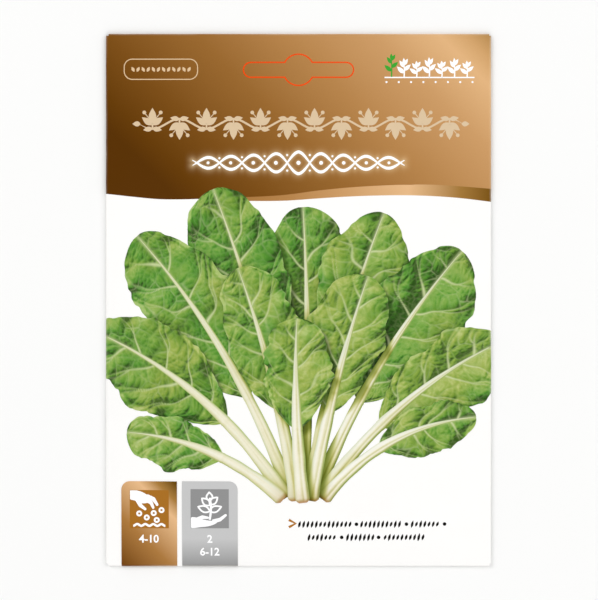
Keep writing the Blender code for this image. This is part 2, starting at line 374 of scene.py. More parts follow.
def buildInkOnPaper():
    # Ink colour in, worn and slightly uneven print out, with the height of fibre and of seed below
    tree, given, result = newTree(
        "ShaderNodeTree", "inkOnPaper",
        [("Ink", "NodeSocketColor", (1, 1, 1, 1)), ("Wear", "NodeSocketFloat", 0.5),
         ("Strength", "NodeSocketFloat", 1.0)],
        [("Colour", "NodeSocketColor"), ("Roughness", "NodeSocketFloat"), ("Height", "NodeSocketFloat")])
    x, y, z = partsOf(objectPlace(tree))
    fibre = noiseWire(tree, paper["fibreSize"], 4.0)
    patch = noiseWire(tree, paper["patchSize"], 3.0)
    bright = (fibre - 0.5 + (patch - 0.5)) * paper["inkUneven"] + given["Strength"]
    toned = mixColour(tree, 1.0, given["Ink"], bright, "MULTIPLY")

    # Wear where the paper turns over its edges
    nearest = mathWire("MINIMUM", width / 2 - abs(x), height / 2 - abs(y))
    closeness = (1.0 - nearest / paper["wearWidth"]).clamped()
    gain, cut = paper["patchGain"]
    rubbed = (closeness * (patch * gain - cut).clamped() * given["Wear"]).clamped()
    rubbed = (rubbed * (fibre + paper["wearFibre"])).clamped()
    connect(tree, result["Colour"], mixColour(tree, rubbed, toned, srgb(paper["wornColour"])))
    sound, swing, worn = paper["roughness"]
    connect(tree, result["Roughness"], (patch - 0.5) * swing + sound + rubbed * worn)

    # Fine grain everywhere, and seed clusters showing faintly through the middle of the pocket
    seed = {"Vector": objectPlace(tree), "Scale": 1 / paper["seedSize"], "Smoothness": paper["seedSoft"]}
    seed = wireFrom(tree, "ShaderNodeTexVoronoi", seed, "Distance", feature="SMOOTH_F1",
                    voronoi_dimensions="2D")
    shareX, shareY = ((place - middle) / reach for place, middle, reach
                      in zip((x, y), paper["seedCentre"], paper["seedArea"]))
    filled = (1.0 - (shareX * shareX + shareY * shareY)).clamped() * mathWire("GREATER_THAN", z, frontLevel)
    grain = noiseWire(tree, paper["grainSize"], 2.0) * paper["grainHeight"]
    connect(tree, result["Height"], (1.0 - seed).clamped() * filled + grain)
    return tree


inkOnPaper = buildInkOnPaper()


def printMaterial(name, ink, wear=0.5, strength=0.955):
    # ink is a colour, or what mixes it in a tree
    def makeFinish(tree):
        group = tree.nodes.new("ShaderNodeGroup")
        group.node_tree = inkOnPaper
        colour = srgb(ink) if isinstance(ink, str) else ink(tree)
        for socket, value in zip(group.inputs, (colour, wear, strength)):
            connect(tree, socket, value)
        return [nodeWire(tree, socket) for socket in group.outputs]

    material = newMaterial(name, makeFinish, *paper["bump"])
    material.node_tree.nodes["Principled BSDF"].inputs["Specular IOR Level"].default_value = paper["shine"]
    return material


def sweep(along, down, stops):
    # A gradient whose places are photo pixels of along times x plus down times y
    def mixInk(tree):
        x, y, _ = partsOf(objectPlace(tree))
        place = (x / pxWide + midX) * along + (midY - y / pxTall) * down
        low = stops[0][0]
        span = stops[-1][0] - low
        share = ((place - low) / span).clamped()
        return rampWire(share, [(at - low) / span for at, colour in stops], [colour for at, colour in stops])

    return mixInk


headerSweep = sweep(1, -1, [
    (-20, "583100"), (10, "653B03"), (70, "7B4D15"), (160, "98672E"), (250, "B5834B"),
    (340, "CC9B66"), (404, "E2B480"), (430, "D2A36C"), (458, "B0854A")])
tabSweep = sweep(1, -1, [
    (-444, "6E3F06"), (-394, "AB783D"), (-343, "E7BA89"), (-325, "A87B3C"), (-307, "664508")])
ribbonSweep = sweep(1, 0, [
    (200, "9A6A31"), (290, "B5834B"), (340, "CB9A64"), (408, "E6B987"), (460, "A27739"), (491, "78510F")])
greySweep = sweep(0, 1, [(538, "C7C7C7"), (566, "969696")])

# The printed plant's inks. Its net of points holds four values, and noise adds what is too fine for it
plantInk = {
    "fine": 0.75 * mm,
    "patch": 2.6 * mm,
    "swing": {"shade": 0.42, "warm": 0.75, "streak": 0.22},
    "leafPlaces": (0.00, 0.10, 0.30, 0.55, 0.80, 1.00),
    "cool": ("2B4E16", "3A6A20", "4A872B", "609938", "80AA4C", "A3C06E"),
    "warm": ("405C1E", "587B2B", "759535", "8EA645", "A3B459", "BDC678"),
    "vein": "CAD59E",
    "stem": ("7F8246", "BDBC80", "E0DBB0", "F2EDD6", "FCF9F0"),
    "stemGreen": "9DB560",
    "stemTip": "B98F66",
    "shadowPlaces": (0.00, 0.35, 0.65, 0.85, 1.00),
    "shadow": ("26330A", "7C8A3A", "BFC47C", "E3E3BC", "FFFFFF"),
    "glow": "F2D3A0",
}


def tissueWires(tree):
    node = tree.nodes.new("ShaderNodeAttribute")
    node.attribute_name = "tissue"
    colours = partsOf(nodeWire(tree, node.outputs["Color"]), "ShaderNodeSeparateColor")
    return colours + [nodeWire(tree, node.outputs["Alpha"])]


def mottled(wire, size, swing):
    noise = noiseWire(wire.tree, plantInk[size], 5.0, Roughness=0.7)
    return (wire + (noise - 0.5) * plantInk["swing"][swing]).clamped()


def glowInk(tree):
    # The header's own colour, lifted towards warm cream by the glow
    return mixColour(tree, tissueWires(tree)[0], headerSweep(tree), srgb(plantInk["glow"]))


def leafInk(tree):
    shade, vein, warmth, light = tissueWires(tree)
    shade = mottled(shade, "fine", "shade")
    cool, warm = (rampWire(shade, plantInk["leafPlaces"], plantInk[key]) for key in ("cool", "warm"))
    green = mixColour(tree, mottled(warmth, "patch", "warm"), cool, warm)
    return mixColour(tree, 1.0, mixColour(tree, vein, green, srgb(plantInk["vein"])), light, "MULTIPLY")


def stemInk(tree):
    shade, green, brown, light = tissueWires(tree)
    cream = rampWire(mottled(shade, "fine", "streak"), (0, 0.25, 0.5, 0.75, 1), plantInk["stem"])
    tinted = mixColour(tree, green, cream, srgb(plantInk["stemGreen"]))
    tipped = mixColour(tree, brown, tinted, srgb(plantInk["stemTip"]))
    shadow = rampWire(light, plantInk["shadowPlaces"], plantInk["shadow"])
    return mixColour(tree, 1.0, tipped, shadow, "MULTIPLY")


# Each ink with its wear at the edges and its strength, where they aren't the usual ones
inks = {name: printMaterial(name, *values) for name, values in {
    "white laminated paper": ("FCFBF9", 0.2, 0.97),
    "brown header print": (headerSweep, 0.45),
    "gold ribbon print": (ribbonSweep, 0.6),
    "soft glow print": (glowInk,),
    "brown tab print": (tabSweep, 0.6),
    "grey tab print": (greySweep, 0.6),
    "brown square print": ("A96F24",),
    "grey square print": ("929292",),
    "cream print": ("DDC4A1",),
    "pale cream print": ("E3C49B",),
    "white print": ("FFFFFF", 0.5, 1.0),
    "green print": ("3FA535",),
    "orange outline print": ("FF4A00", 0.5, 1.0),
    "black print": ("120F0E",),
    "chevron print": ("B0731F",),
    "printed leaf": (leafInk,),
    "printed stem": (stemInk,),
}.items()}
print("materials made")

# The header's lower edge and the ribbon's, as photo pixels
edges = {
    "header": [(106, 193.9), (134, 197.0), (157, 199.2), (180, 199.6), (204, 198.9), (240, 197.6),
               (285, 195.1), (319, 190.7), (348, 187.8), (382, 185.7), (408, 184.8), (434, 184.9),
               (461, 186.5), (491, 188.9)],
    "ribbon": [(198, 199.2), (225, 200.6), (255, 201.2), (285, 200.9), (319, 198.6), (348, 196.8),
               (382, 195.6), (402, 195.4), (429, 196.1), (461, 198.3), (491, 201.9)],
}


def edgeAt(name, x):
    # The height of a smooth curve through the edge's points, for x in photo pixels
    knotX, knotY = np.array(edges[name], dtype=float).T
    slope = np.gradient(knotY, knotX)
    k = np.clip(np.searchsorted(knotX, x) - 1, 0, len(knotX) - 2)
    span = knotX[k + 1] - knotX[k]
    u = np.clip((x - knotX[k]) / span, 0, 1)
    line = knotY[k] * (1 + 2 * u) * (1 - u) ** 2 + knotY[k + 1] * u * u * (3 - 2 * u)
    line = line + span * (slope[k] * u * (1 - u) ** 2 - slope[k + 1] * u * u * (1 - u))
    return (midY - line) * pxTall


def gridFaces(rows, columns):
    return [(r * columns + c, r * columns + c + 1, (r + 1) * columns + c + 1, (r + 1) * columns + c)
            for r in range(rows - 1) for c in range(columns - 1)]


def stations(low, high, extra=()):
    # Places on the paper's grid from low to high, with the extra ones
    step = packet["grid"]
    inner = np.arange(math.ceil(low / step), math.floor(high / step) + 1) * step
    kept = [low]
    for value in sorted([high, *[v for v in (*inner, *extra) if low < v < high]]):
        if value - kept[-1] > packet["leastStep"]:
            kept.append(value)
    return np.array(kept)


def foldStations(radius):
    return np.pi * radius * np.arange(packet["foldSteps"] + 1) / packet["foldSteps"]


def flapRows(crease, outward, depth, across):
    rows = [[(s, crease + outward * d) for s in across] for d in foldStations(endRadius)]
    for share in np.linspace(*packet["flapShares"]):
        narrow = 1 - share * packet["flapTaper"] / max(across)
        reach = np.pi * endRadius + share * (depth - endRadius)
        rows.append([(s * narrow, crease + outward * reach) for s in across])
    return rows if outward > 0 else rows[::-1]


slot = {"barHeight": 4.45 * mm, "kerf": 0.30 * mm, "cut": 0.02 * mm, "line": 0.16 * mm, "recess": 0.07 * mm,
        "die": (-3 * mm, 8 * mm)}


def slotOutline(grow):
    # The euro slot, counter-clockwise: a bar with round ends and a round middle
    tabLow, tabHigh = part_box("hang_slot_tab")
    middleY = (tabLow[1] + tabHigh[1]) / 2
    half = (tabHigh[0] - tabLow[0] + slot["kerf"]) / 2 + grow
    end = slot["barHeight"] / 2 + grow
    middle = (tabHigh[1] - tabLow[1] + slot["kerf"]) / 2 + grow
    meet = math.asin(end / middle)
    arcs = [(half - end, end, -math.pi / 2, math.pi / 2, 14),
            (0, middle, meet, math.pi - meet, 22),
            (end - half, end, math.pi / 2, math.pi * 3 / 2, 14),
            (0, middle, math.pi + meet, math.pi * 2 - meet, 22)]
    return [(centre + radius * math.cos(angle), middleY + radius * math.sin(angle))
            for centre, radius, first, last, steps in arcs
            for angle in np.linspace(first, last, steps + 1)]


def sortParts(mesh):
    # A Boolean gives its corners and faces in an order that changes from run to run
    bm = bmesh.new()
    bm.from_mesh(mesh)
    for parts, place in ((bm.verts, lambda v: tuple(v.co)),
                         (bm.faces, lambda f: sorted(v.index for v in f.verts))):
        rank = {part: number for number, part in enumerate(sorted(parts, key=place))}
        parts.sort(key=rank.get)
        parts.index_update()
    bm.to_mesh(mesh)
    bm.free()


def cutSlot(thing):
    # The same die goes through the paper and its print
    low, tall = slot["die"]
    bm = bmesh.new()
    face = bm.faces.new([bm.verts.new((x, y, low)) for x, y in slotOutline(slot["cut"])])
    risen = bmesh.ops.extrude_face_region(bm, geom=[face])["geom"]
    bmesh.ops.translate(bm, verts=[v for v in risen if isinstance(v, bmesh.types.BMVert)], vec=(0, 0, tall))
    bmesh.ops.recalc_face_normals(bm, faces=bm.faces)
    mesh = bpy.data.meshes.new("slotDie")
    bm.to_mesh(mesh)
    bm.free()
    die = newObject("slotDie", mesh)
    cut = thing.modifiers.new("slot", "BOOLEAN")
    cut.operation = "DIFFERENCE"
    cut.solver = "EXACT"
    cut.object = die
    done = meshOf(thing)
    sortParts(done)
    thing.modifiers.remove(cut)
    thing.data = done
    bpy.data.objects.remove(die, do_unlink=True)


# The two tabs at the lower left, in photo pixels: a sign in a square, and numbers for months below
tabs = {
    "brown": {"left": 121.6, "right": 177.3, "top": 480.8, "radii": (8.6, 0, 0, 0),
              "square": (130.0, 489.5, 169.1, 527.8), "numbers": [("4-10", 149.2, 538.0)]},
    "grey": {"left": 182.3, "right": 237.9, "top": 480.6, "radii": (0, 8.6, 0, 0),
             "square": (190.9, 488.3, 229.1, 527.5),
             "numbers": [("2", 210.0, 538.0), ("6-12", 209.9, 550.9)]},
}
brownOnBack = 40 * mm        # from the top fold down


def makeEnvelope():
    # One blank, its front in 1 mm squares. The header's brown runs over the folds onto the back,
    # and the two tabs run over the bottom fold
    trim = packet["cornerTrim"]
    brownFrom = atPixel(*edges["header"][0])[1]
    tabSides = [[atPixel(tab[side], 0)[0] for side in ("left", "right")] for tab in tabs.values()]
    across = stations(left, right, [left + trim, right - trim, *tabSides[0], *tabSides[1]])
    along = stations(bottom, top, [bottom + trim, top - trim, brownFrom])
    points = []
    numbers = {}
    faces = []

    def corner(s, t):
        key = (round(s * 1e7), round(t * 1e7))
        if key not in numbers:
            numbers[key] = len(points)
            points.append((s, t, 0.0))
        return numbers[key]

    def panel(rows):
        for lower, upper in zip(rows, rows[1:]):
            for i in range(len(lower) - 1):
                loop = (lower[i], lower[i + 1], upper[i + 1], upper[i])
                faces.append(tuple(corner(*spot) for spot in loop))

    panel([[(s, t) for s in across] for t in along])
    beside = along[(along > bottom + trim / 2) & (along < top - trim / 2)]
    panelReach = width - packet["panelStop"] - leftRadius
    flapReach = packet["sideFlap"] - rightRadius
    leftRun, rightRun = (
        [*foldStations(radius), *(np.pi * radius + reach * np.linspace(*packet[shares]))]
        for radius, reach, shares in ((leftRadius, panelReach, "panelShares"),
                                      (rightRadius, flapReach, "sideShares")))
    panel([[(left - d, t) for d in reversed(leftRun)] for t in beside])
    panel([[(right + d, t) for d in rightRun] for t in beside])
    inner = across[(across > left + trim / 2) & (across < right - trim / 2)]
    panel(flapRows(bottom, -1, packet["bottomFlap"], inner))
    panel(flapRows(top, 1, packet["topFlap"], inner))

    def pick(face):
        s, t = (sum(points[k][axis] for k in face) / len(face) for axis in (0, 1))
        if t > brownFrom and not (left < s < right and t < top - brownOnBack):
            return 1
        for number, (first, last) in enumerate(tabSides, 2):
            if first < s < last and bottom - np.pi * endRadius < t < bottom:
                return number
        return 0

    materials = ["white laminated paper", "brown header print", "brown tab print", "grey tab print"]
    sheet = closeSkin("folded_paper", points, faces, materials, depth=ply, pick=pick,
                      finish=cutSlot)
    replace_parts(sheet, "paper_envelope")
    print("paper folded", len(sheet.data.polygons))


makeEnvelope()


def makeBand(name, lowEdge, highEdge, start, ink, finish=None):
    # A strip of print between two edges, from start to over the right fold
    folds = [left - d for d in foldStations(leftRadius)] + [right + d for d in foldStations(rightRadius)]
    columns = stations(start, printRight, [left, right, *folds])
    low, high = (edge(columns / pxWide + midX) for edge in (lowEdge, highEdge))
    rows = max(2, int(np.max(high - low) / packet["grid"]) + 2)
    points = [(s, a + (b - a) * share, 0.0) for share in np.linspace(0, 1, rows)
              for s, a, b in zip(columns, low, high)]
    closeSkin(f"{name}_print", points, gridFaces(rows, len(columns)), ink, lifts[name],
              finish=finish)


def headerEdge(x):
    return edgeAt("header", x)


makeBand("header", headerEdge, lambda x: np.full(x.shape, top), printLeft, "brown header print", cutSlot)
makeBand("ribbon", lambda x: edgeAt("ribbon", x), headerEdge, atPixel(*edges["ribbon"][0])[0],
         "gold ribbon print")


px = pxWide
layerUp = 0.003 * mm         # one shape over another in the same artwork


def stripFaces(count, closed):
    # Squares between a row of count points and a second row of as many
    squares = [(k, (k + 1) % count, (k + 1) % count + count, k + count) for k in range(count)]
    return squares if closed else squares[:-1]


class flatArt:
    # Flat artwork in one ink. at turns its own coordinates into metres on the blank, and its sizes
    # count in unit. Without at they count from a motif's own origin. level says what lies over what
    def __init__(self, ink=None, at=None, unit=px):
        self.ink = ink
        self.at = at or (lambda x, y: (x * unit, y * unit))
        self.unit = unit
        self.points = []
        self.faces = []

    def add(self, spots, faces, level=0):
        first = len(self.points)
        self.points += [(x, y, level * layerUp + sum(z)) for x, y, *z in spots]
        self.faces += [tuple(first + k for k in face) for face in faces]

    def shape(self, outline, level=0):
        spots = [self.at(x, y) for x, y in outline]
        self.add(spots, [range(len(spots))], level)

    def turned(self, outline, spot, turn, size=1.0):
        x, y = self.at(*spot)
        c = math.cos(turn) * size * self.unit
        s = math.sin(turn) * size * self.unit
        return [(x + c * a - s * b, y + s * a + c * b) for a, b in outline]

    def stamp(self, outline, spot=(0, 0), turn=0.0, level=0, size=1.0):
        # An outline in the art's unit, turned and put on a spot
        self.add(self.turned(outline, spot, turn, size), [range(len(outline))], level)

    def ring(self, outline, half, spot, turn=0.0, level=0):
        # The same as a closed line
        self.follow(self.turned(outline, spot, turn), half, level, True)

    def strip(self, middle, halves, level=0, closed=False):
        self.follow([self.at(x, y) for x, y in middle], halves, level, closed)

    def follow(self, middle, halves, level, closed):
        # A strip that follows the points of middle, with one half width or one for each point
        middle = np.array(middle)
        ahead = np.roll(middle, -1, 0) - np.roll(middle, 1, 0)
        if not closed:
            ahead[0] = middle[1] - middle[0]
            ahead[-1] = middle[-1] - middle[-2]
        ahead /= np.linalg.norm(ahead, axis=1)[:, None] + 1e-12
        beside = np.stack([-ahead[:, 1], ahead[:, 0]], -1) * (np.asarray(halves) * self.unit)[..., None]
        self.add([*(middle - beside), *(middle + beside)], stripFaces(len(middle), closed), level)

    def addMesh(self, thing, place):
        # The shape of a helper object, which goes
        mesh = meshOf(thing)
        thing.modifiers.clear()
        self.add([place(v.co) for v in mesh.vertices], [face.vertices for face in mesh.polygons])
        bpy.data.objects.remove(thing, do_unlink=True)
        bpy.data.meshes.remove(mesh)

    def number(self, text, spot, tall):
        # Plain figures of that height, centred on a spot
        data = bpy.data.curves.new("number", "FONT")
        data.body = text
        data.align_x = "CENTER"
        data.offset = figures["weight"]
        data.resolution_u = 3
        x, y = self.at(*spot)
        tall = tall * self.unit
        size = tall / figures["capShare"]
        self.addMesh(newObject("number", data), lambda co: (x + size * co.x, y + size * co.y - tall / 2))

    def repeat(self, motif, count, start, pitch, flip=0.0, least=1.0, most=1.0, seed=1):
        # Copies of a motif in a row to the right: each second one turned by flip, and each from least
        # to most times as tall
        mesh = bpy.data.meshes.new("motif")
        mesh.from_pydata(motif.points, [], motif.faces)
        host = newObject("motif", mesh)
        modifier = host.modifiers.new("row", "NODES")
        modifier.node_group = motifRow
        values = {"Count": count, "Start": (*self.at(*start), 0.0), "Step": (pitch * self.unit, 0.0, 0.0),
                  "Turn each second": flip, "Least height": least, "Most height": most, "Seed": seed,
                  "Material": inks[self.ink]}
        for item in motifRow.interface.items_tree:
            if item.in_out == "INPUT" and item.name in values:
                modifier[item.identifier] = values[item.name]
        self.addMesh(host, tuple)

    def lay(self, name, kind, depth=None):
        # Cut along the paper's own grid, so that the artwork follows the curved front, and close it
        bm = bmesh.new()
        verts = [bm.verts.new(point) for point in self.points]
        for face in self.faces:
            bm.faces.new([verts[k] for k in face])
        bmesh.ops.triangulate(bm, faces=bm.faces)
        for face in bm.faces:
            face.normal_update()
            if face.normal.z < 0:
                face.normal_flip()
        step = packet["grid"]
        for axis, facing in enumerate(((1, 0, 0), (0, 1, 0))):
            values = [v.co[axis] for v in bm.verts]
            for k in range(math.ceil(min(values) / step), math.floor(max(values) / step) + 1):
                geometry = bm.verts[:] + bm.edges[:] + bm.faces[:]
                spot = [k * step * share for share in facing]
                bmesh.ops.bisect_plane(bm, geom=geometry, dist=1e-8, plane_co=spot, plane_no=facing)
        bm.verts.index_update()
        points = [tuple(v.co) for v in bm.verts]
        faces = [tuple(v.index for v in f.verts) for f in bm.faces]
        bm.free()
        return closeSkin(name, points, faces, self.ink, lifts[kind], depth)


def leafShape(length, half, steps=9, full=0.8):
    share = np.linspace(0, 1, steps + 1)[1:-1]
    side = half * np.sin(np.pi * share ** full)
    return [(0.0, 0.0), *zip(side, share * length), (0.0, length), *zip(-side[::-1], share[::-1] * length)]


def discShape(radius, steps=14):
    turn = np.linspace(0, 2 * np.pi, steps, endpoint=False)
    return list(zip(radius * np.cos(turn), radius * np.sin(turn)))


def grainMotif(length, half, turn, steps=7, unit=px):
    motif = flatArt(unit=unit)
    motif.stamp([(x, y - length / 2) for x, y in leafShape(length, half, steps, 0.95)], turn=turn)
    return motif


# Geometry Nodes: one motif repeated along a straight row, turned and stretched as it goes
def buildMotifRow():
    tree, given, result = newTree(
        "GeometryNodeTree", "motifRow",
        [("Motif", "NodeSocketGeometry", None), ("Count", "NodeSocketInt", 5),
         ("Start", "NodeSocketVector", (0, 0, 0)), ("Step", "NodeSocketVector", (0.01, 0, 0)),
         ("Turn each second", "NodeSocketFloat", 0.0), ("Least height", "NodeSocketFloat", 1.0),
         ("Most height", "NodeSocketFloat", 1.0), ("Seed", "NodeSocketInt", 1),
         ("Material", "NodeSocketMaterial", None)],
        [("Geometry", "NodeSocketGeometry")])
    line = {"Count": given["Count"], "Start Location": given["Start"], "Offset": given["Step"]}
    line = wireFrom(tree, "GeometryNodeMeshLine", line, mode="OFFSET")
    odd = mathWire("FLOORED_MODULO", wireFrom(tree, "GeometryNodeInputIndex", {}), 2.0)
    turn = wireFrom(tree, "ShaderNodeCombineXYZ", {"Z": odd * given["Turn each second"]})
    chance = {2: given["Least height"], 3: given["Most height"], "Seed": given["Seed"]}
    chance = wireFrom(tree, "FunctionNodeRandomValue", chance, 1, data_type="FLOAT")
    stretch = wireFrom(tree, "ShaderNodeCombineXYZ", {"X": 1.0, "Y": chance, "Z": 1.0})
    placed = {"Points": line, "Instance": given["Motif"], "Rotation": turn, "Scale": stretch}
    placed = wireFrom(tree, "GeometryNodeInstanceOnPoints", placed)
    real = wireFrom(tree, "GeometryNodeRealizeInstances", {0: placed})
    inked = wireFrom(tree, "GeometryNodeSetMaterial", {"Geometry": real, "Material": given["Material"]})
    connect(tree, result[0], inked)
    return tree


motifRow = buildMotifRow()


def makeSlotLine():
    # The orange line on both sides of the cut, and the tab that still sits in the slot
    cut = slot["cut"]
    reach = cut + slot["line"]
    for name, low, high in (("slot_line_outer", cut, reach), ("slot_line_inner", -reach, -cut)):
        inner = slotOutline(low)
        art = flatArt("orange outline print")
        art.add(slotOutline(high) + inner, stripFaces(len(inner), True))
        art.lay(name, "ornament")
    art = flatArt("brown header print", unit=1)
    art.shape(slotOutline(-cut))
    thick = frontLevel + ply / 2 + lifts["header"] * mm - slot["recess"]
    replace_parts(art.lay("slot_tab_plies", "header", thick), "hang_slot_tab")


makeSlotLine()
print("header printed")

# The printed picture: a generic leafy plant, drawn leaf by leaf in photo pixels, back to front
picture = {
    "spacing": 0.95,            # between the corners of a leaf's net
    "stemStretch": 1.6,         # how much longer a stem's squares are
    "light": (-0.50, -0.55, 0.67),   # towards the light, y running down the photo
    "flatLight": 0.62,
    "shinePower": 24,
    "contrast": 1.05,
    "stemContrast": 0.95,
    "profile": (0.70, 0.50),    # powers of the way from a blade's foot and from its tip
    "margin": ((0.22, 5.5, 0), (0.13, 13, 3), (0.07, 34, 4)),   # depth, waves and seed of its unevenness
    "veinSlant": (0.62, 0.40),
    "veinWander": 13.0,
    "veinShift": 0.36,          # how far a side vein leaves the rule, in their spacing
    "veinPitch": 0.76,          # what their slant leaves of that spacing
    "fork": (-0.42, 0.36),
    "forkFrom": (0.35, 0.25, 0.6, 0.85),   # least way out, its swing, the fork's length and its bend
    "forkAhead": 0.4,           # share of side veins that fork towards the tip
    "cellSize": 14.0,
    "cellBend": 0.9,
    "fineCell": 5.5,
    "fineRatio": 2.5,
    "puff": (2.3, 5.5, 1.2),    # height, reach and power of the rise between side veins
    "cellPuff": (2.2, 3.2, 1.6),
    "finePuff": (0.45, 1.4, 2),
    "ruffle": (4.2, 37.0, 5),   # height and length of the margin's waves, and how uneven they are
    "cup": (0.40, 0.30),
    "swell": (7.0, 0.35),       # slow unevenness of a blade, and the smaller one's share of it
    # The noises of a blade: size in pixels, and what each adds to the leaf's seed
    "noise": {"bend": (17, 13), "cells": (20, 27), "swell": (38, 23), "smallSwell": (15, 25),
              "slow": (44, 29), "fine": (3.2, 33), "net": (18, 31), "slowWarmth": (36, 37),
              "fineWarmth": (11, 39)},
    "rolls": (24, 0.55, 0.75),  # length of the margin's rolls, and the noise where they start and are full
    "rim": 0.965,
    "bladeTone": {"base": 0.42, "shine": 0.12, "slow": 0.14, "fine": 0.12, "rim": 0.18,
                  "ribSides": (0.12, 0.05), "ribSideAt": (2.5, 3.0),
                  "underside": (0.26, 0.88, 0.93), "roll": (0.20, 0.86, 0.03)},
    "veinTone": {"side": 0.95, "net": 0.42, "fineNet": 0.08, "midrib": 0.55, "rim": 0.20,
                 "alongFade": (0.99, 0.84), "outFade": (1.15, 0.15)},
    "veinHalf": {"side": (0.52, 0.50, 1.2), "net": 0.6, "fineNet": 0.5, "midrib": 2.0},
    "warmth": {"base": 0.36, "slow": 1.1, "fine": 0.5, "veins": (0.30, 3.0), "margin": (0.25, 0.8, 1.0)},
    "stemTone": {"base": 0.66, "shine": 0.14, "streak": 0.26},
    "stemGreen": {"blade": 0.50, "sides": 0.42, "streak": 0.22, "flank": 0.35},
    "stemBrown": ((0.85, 2.6), (0.22, 12)),   # strength and reach up from the cut foot
    "stemAcross": 15,           # points across a stem
    "neck": 0.70,               # a stem's half width where the blade begins, as a share of its foot's
    "tipHalf": 0.3,
    "stemWave": (0.14, 12),     # unevenness of its width, and how many waves
    "foot": (-0.8, 3.2),        # where its cut foot rounds off
    "round": (0.62, 1.03),
    "groove": (0.14, 0.25, 0.22),   # depth, place and reach of the groove along it
    "streaks": ((1.0, 26, 4, 9, 43), (0.7, 11, 8, 4, 47)),   # strength, length, number, shift and seed
    "shadowShift": (-5.0, -6.0),
    "shadowDepth": 0.50,
    "shadowSoft": 7.0,
    "shadowWithin": 16,         # pixels round an upper leaf's outline
    "contact": (0.20, 4.0),     # depth and reach of the dark close to an upper leaf
    "hiddenBy": 1.8,            # how deep under an upper leaf a square is before it is left out
}

leafKeys = ("base", "tip", "bow", "blade", "half", "lean", "veins", "stem", "tone", "warm")
leaves = [dict(zip(leafKeys, values)) for values in (
    ((304, 492), (303, 207), 8, 0.33, 47, 0.05, 6, 6.8, -0.09, 0.00),
    ((297, 493), (213, 189), 16, 0.35, 47, -0.10, 6, 6.8, -0.05, -0.25),
    ((309, 493), (384, 213), -16, 0.34, 44, 0.10, 6, 6.8, 0.02, 0.32),
    ((291, 495), (137, 236), 30, 0.35, 44, -0.08, 6, 7.2, 0.01, -0.05),
    ((315, 495), (462, 251), -24, 0.36, 45, 0.08, 6, 7.2, -0.05, -0.18),
    ((286, 497), (92, 330), 40, 0.37, 40, -0.10, 5, 7.4, -0.03, 0.15),
    ((320, 497), (503, 341), -34, 0.38, 38, 0.10, 5, 7.4, 0.04, 0.20),
    ((283, 499), (127, 432), 30, 0.42, 26, -0.12, 5, 7.0, 0.01, -0.15),
    ((323, 499), (476, 417), -38, 0.42, 25, 0.12, 5, 7.0, -0.04, 0.00),
    ((296, 500), (238, 268), 13, 0.38, 37, 0.08, 6, 7.4, 0.05, 0.10),
    ((311, 500), (368, 276), -9, 0.39, 38, -0.08, 6, 7.4, 0.00, 0.35),
    ((303, 502), (297, 318), -7, 0.40, 33, 0.04, 5, 7.8, 0.07, -0.05),
)]


# Large numbers that scatter the values of a noise, and how many bits are kept on the way
scatter = {"factors": (374761393, 668265263, 974711), "again": 1274126177, "bits": 2 ** 31 - 1, "most": 65535}


def hashed(i, j, seed):
    # A chance value from nought to one for each whole i and j
    a, b, c = scatter["factors"]
    mixed = (i.astype(np.int64) * a + j.astype(np.int64) * b + seed * c) & scatter["bits"]
    mixed = ((mixed ^ (mixed >> 13)) * scatter["again"]) & scatter["bits"]
    return ((mixed ^ (mixed >> 16)) & scatter["most"]) / scatter["most"]


def softNoise(x, y, seed):
    i = np.floor(x)
    j = np.floor(y)
    u, v = (f * f * (3 - 2 * f) for f in (x - i, y - j))
    low, high = (hashed(i, k, seed) * (1 - u) + hashed(i + 1, k, seed) * u for k in (j, j + 1))
    return low * (1 - v) + high * v


def cellEdge(x, y, seed):
    # Half the way from the nearest scattered point to the next one: nought along a net of veins
    first = np.full(x.shape, 9.0)
    second = np.full(x.shape, 9.0)
    for stepX in (-1, 0, 1):
        for stepY in (-1, 0, 1):
            i = np.floor(x) + stepX
            j = np.floor(y) + stepY
            spotX = i + 0.15 + 0.7 * hashed(i, j, seed)
            spotY = j + 0.15 + 0.7 * hashed(i, j, seed + 77)
            away = np.hypot(spotX - x, spotY - y)
            second = np.minimum(second, np.maximum(first, away))
            first = np.minimum(first, away)
    return (second - first) / 2


def near(value, reach, power=2):
    # One at nought, and less and less past reach
    return np.exp(-(value / reach) ** power)


def between(value, start, end):
    # How far a value is on its way from start to end
    return np.clip((value - start) / (end - start), 0, 1)


def midrib(leaf, u):
    # Spots along the leaf's middle line, with the directions ahead and beside, and its length
    base, tip = (np.array(leaf[key], dtype=float) for key in ("base", "tip"))
    chord = tip - base
    length = np.hypot(*chord)
    control = (base + tip) / 2 + np.array([-chord[1], chord[0]]) / length * leaf["bow"]
    u = np.asarray(u)[:, None]
    spot = (1 - u) ** 2 * base + 2 * u * (1 - u) * control + u * u * tip
    ahead = 2 * (1 - u) * (control - base) + 2 * u * (tip - control)
    ahead /= np.linalg.norm(ahead, axis=1)[:, None]
    return spot, np.stack([-ahead[:, 1], ahead[:, 0]], -1), length


def litFrom(x, y, rise):
    # How much a relief faces the light, less flat ground, and how much of a soft shine it has
    spots = np.stack([x, y, rise], -1)
    facing = np.cross(np.gradient(spots, axis=0), np.gradient(spots, axis=1))
    facing /= np.linalg.norm(facing, axis=-1)[..., None] + 1e-9
    facing *= np.sign(facing[..., 2:3])
    light = np.array(picture["light"]) / np.linalg.norm(picture["light"])
    halfway = light + np.array([0, 0, 1])
    halfway /= np.linalg.norm(halfway)
    power = picture["shinePower"]
    return facing @ light - picture["flatLight"], np.clip(facing @ halfway, 0, 1) ** power


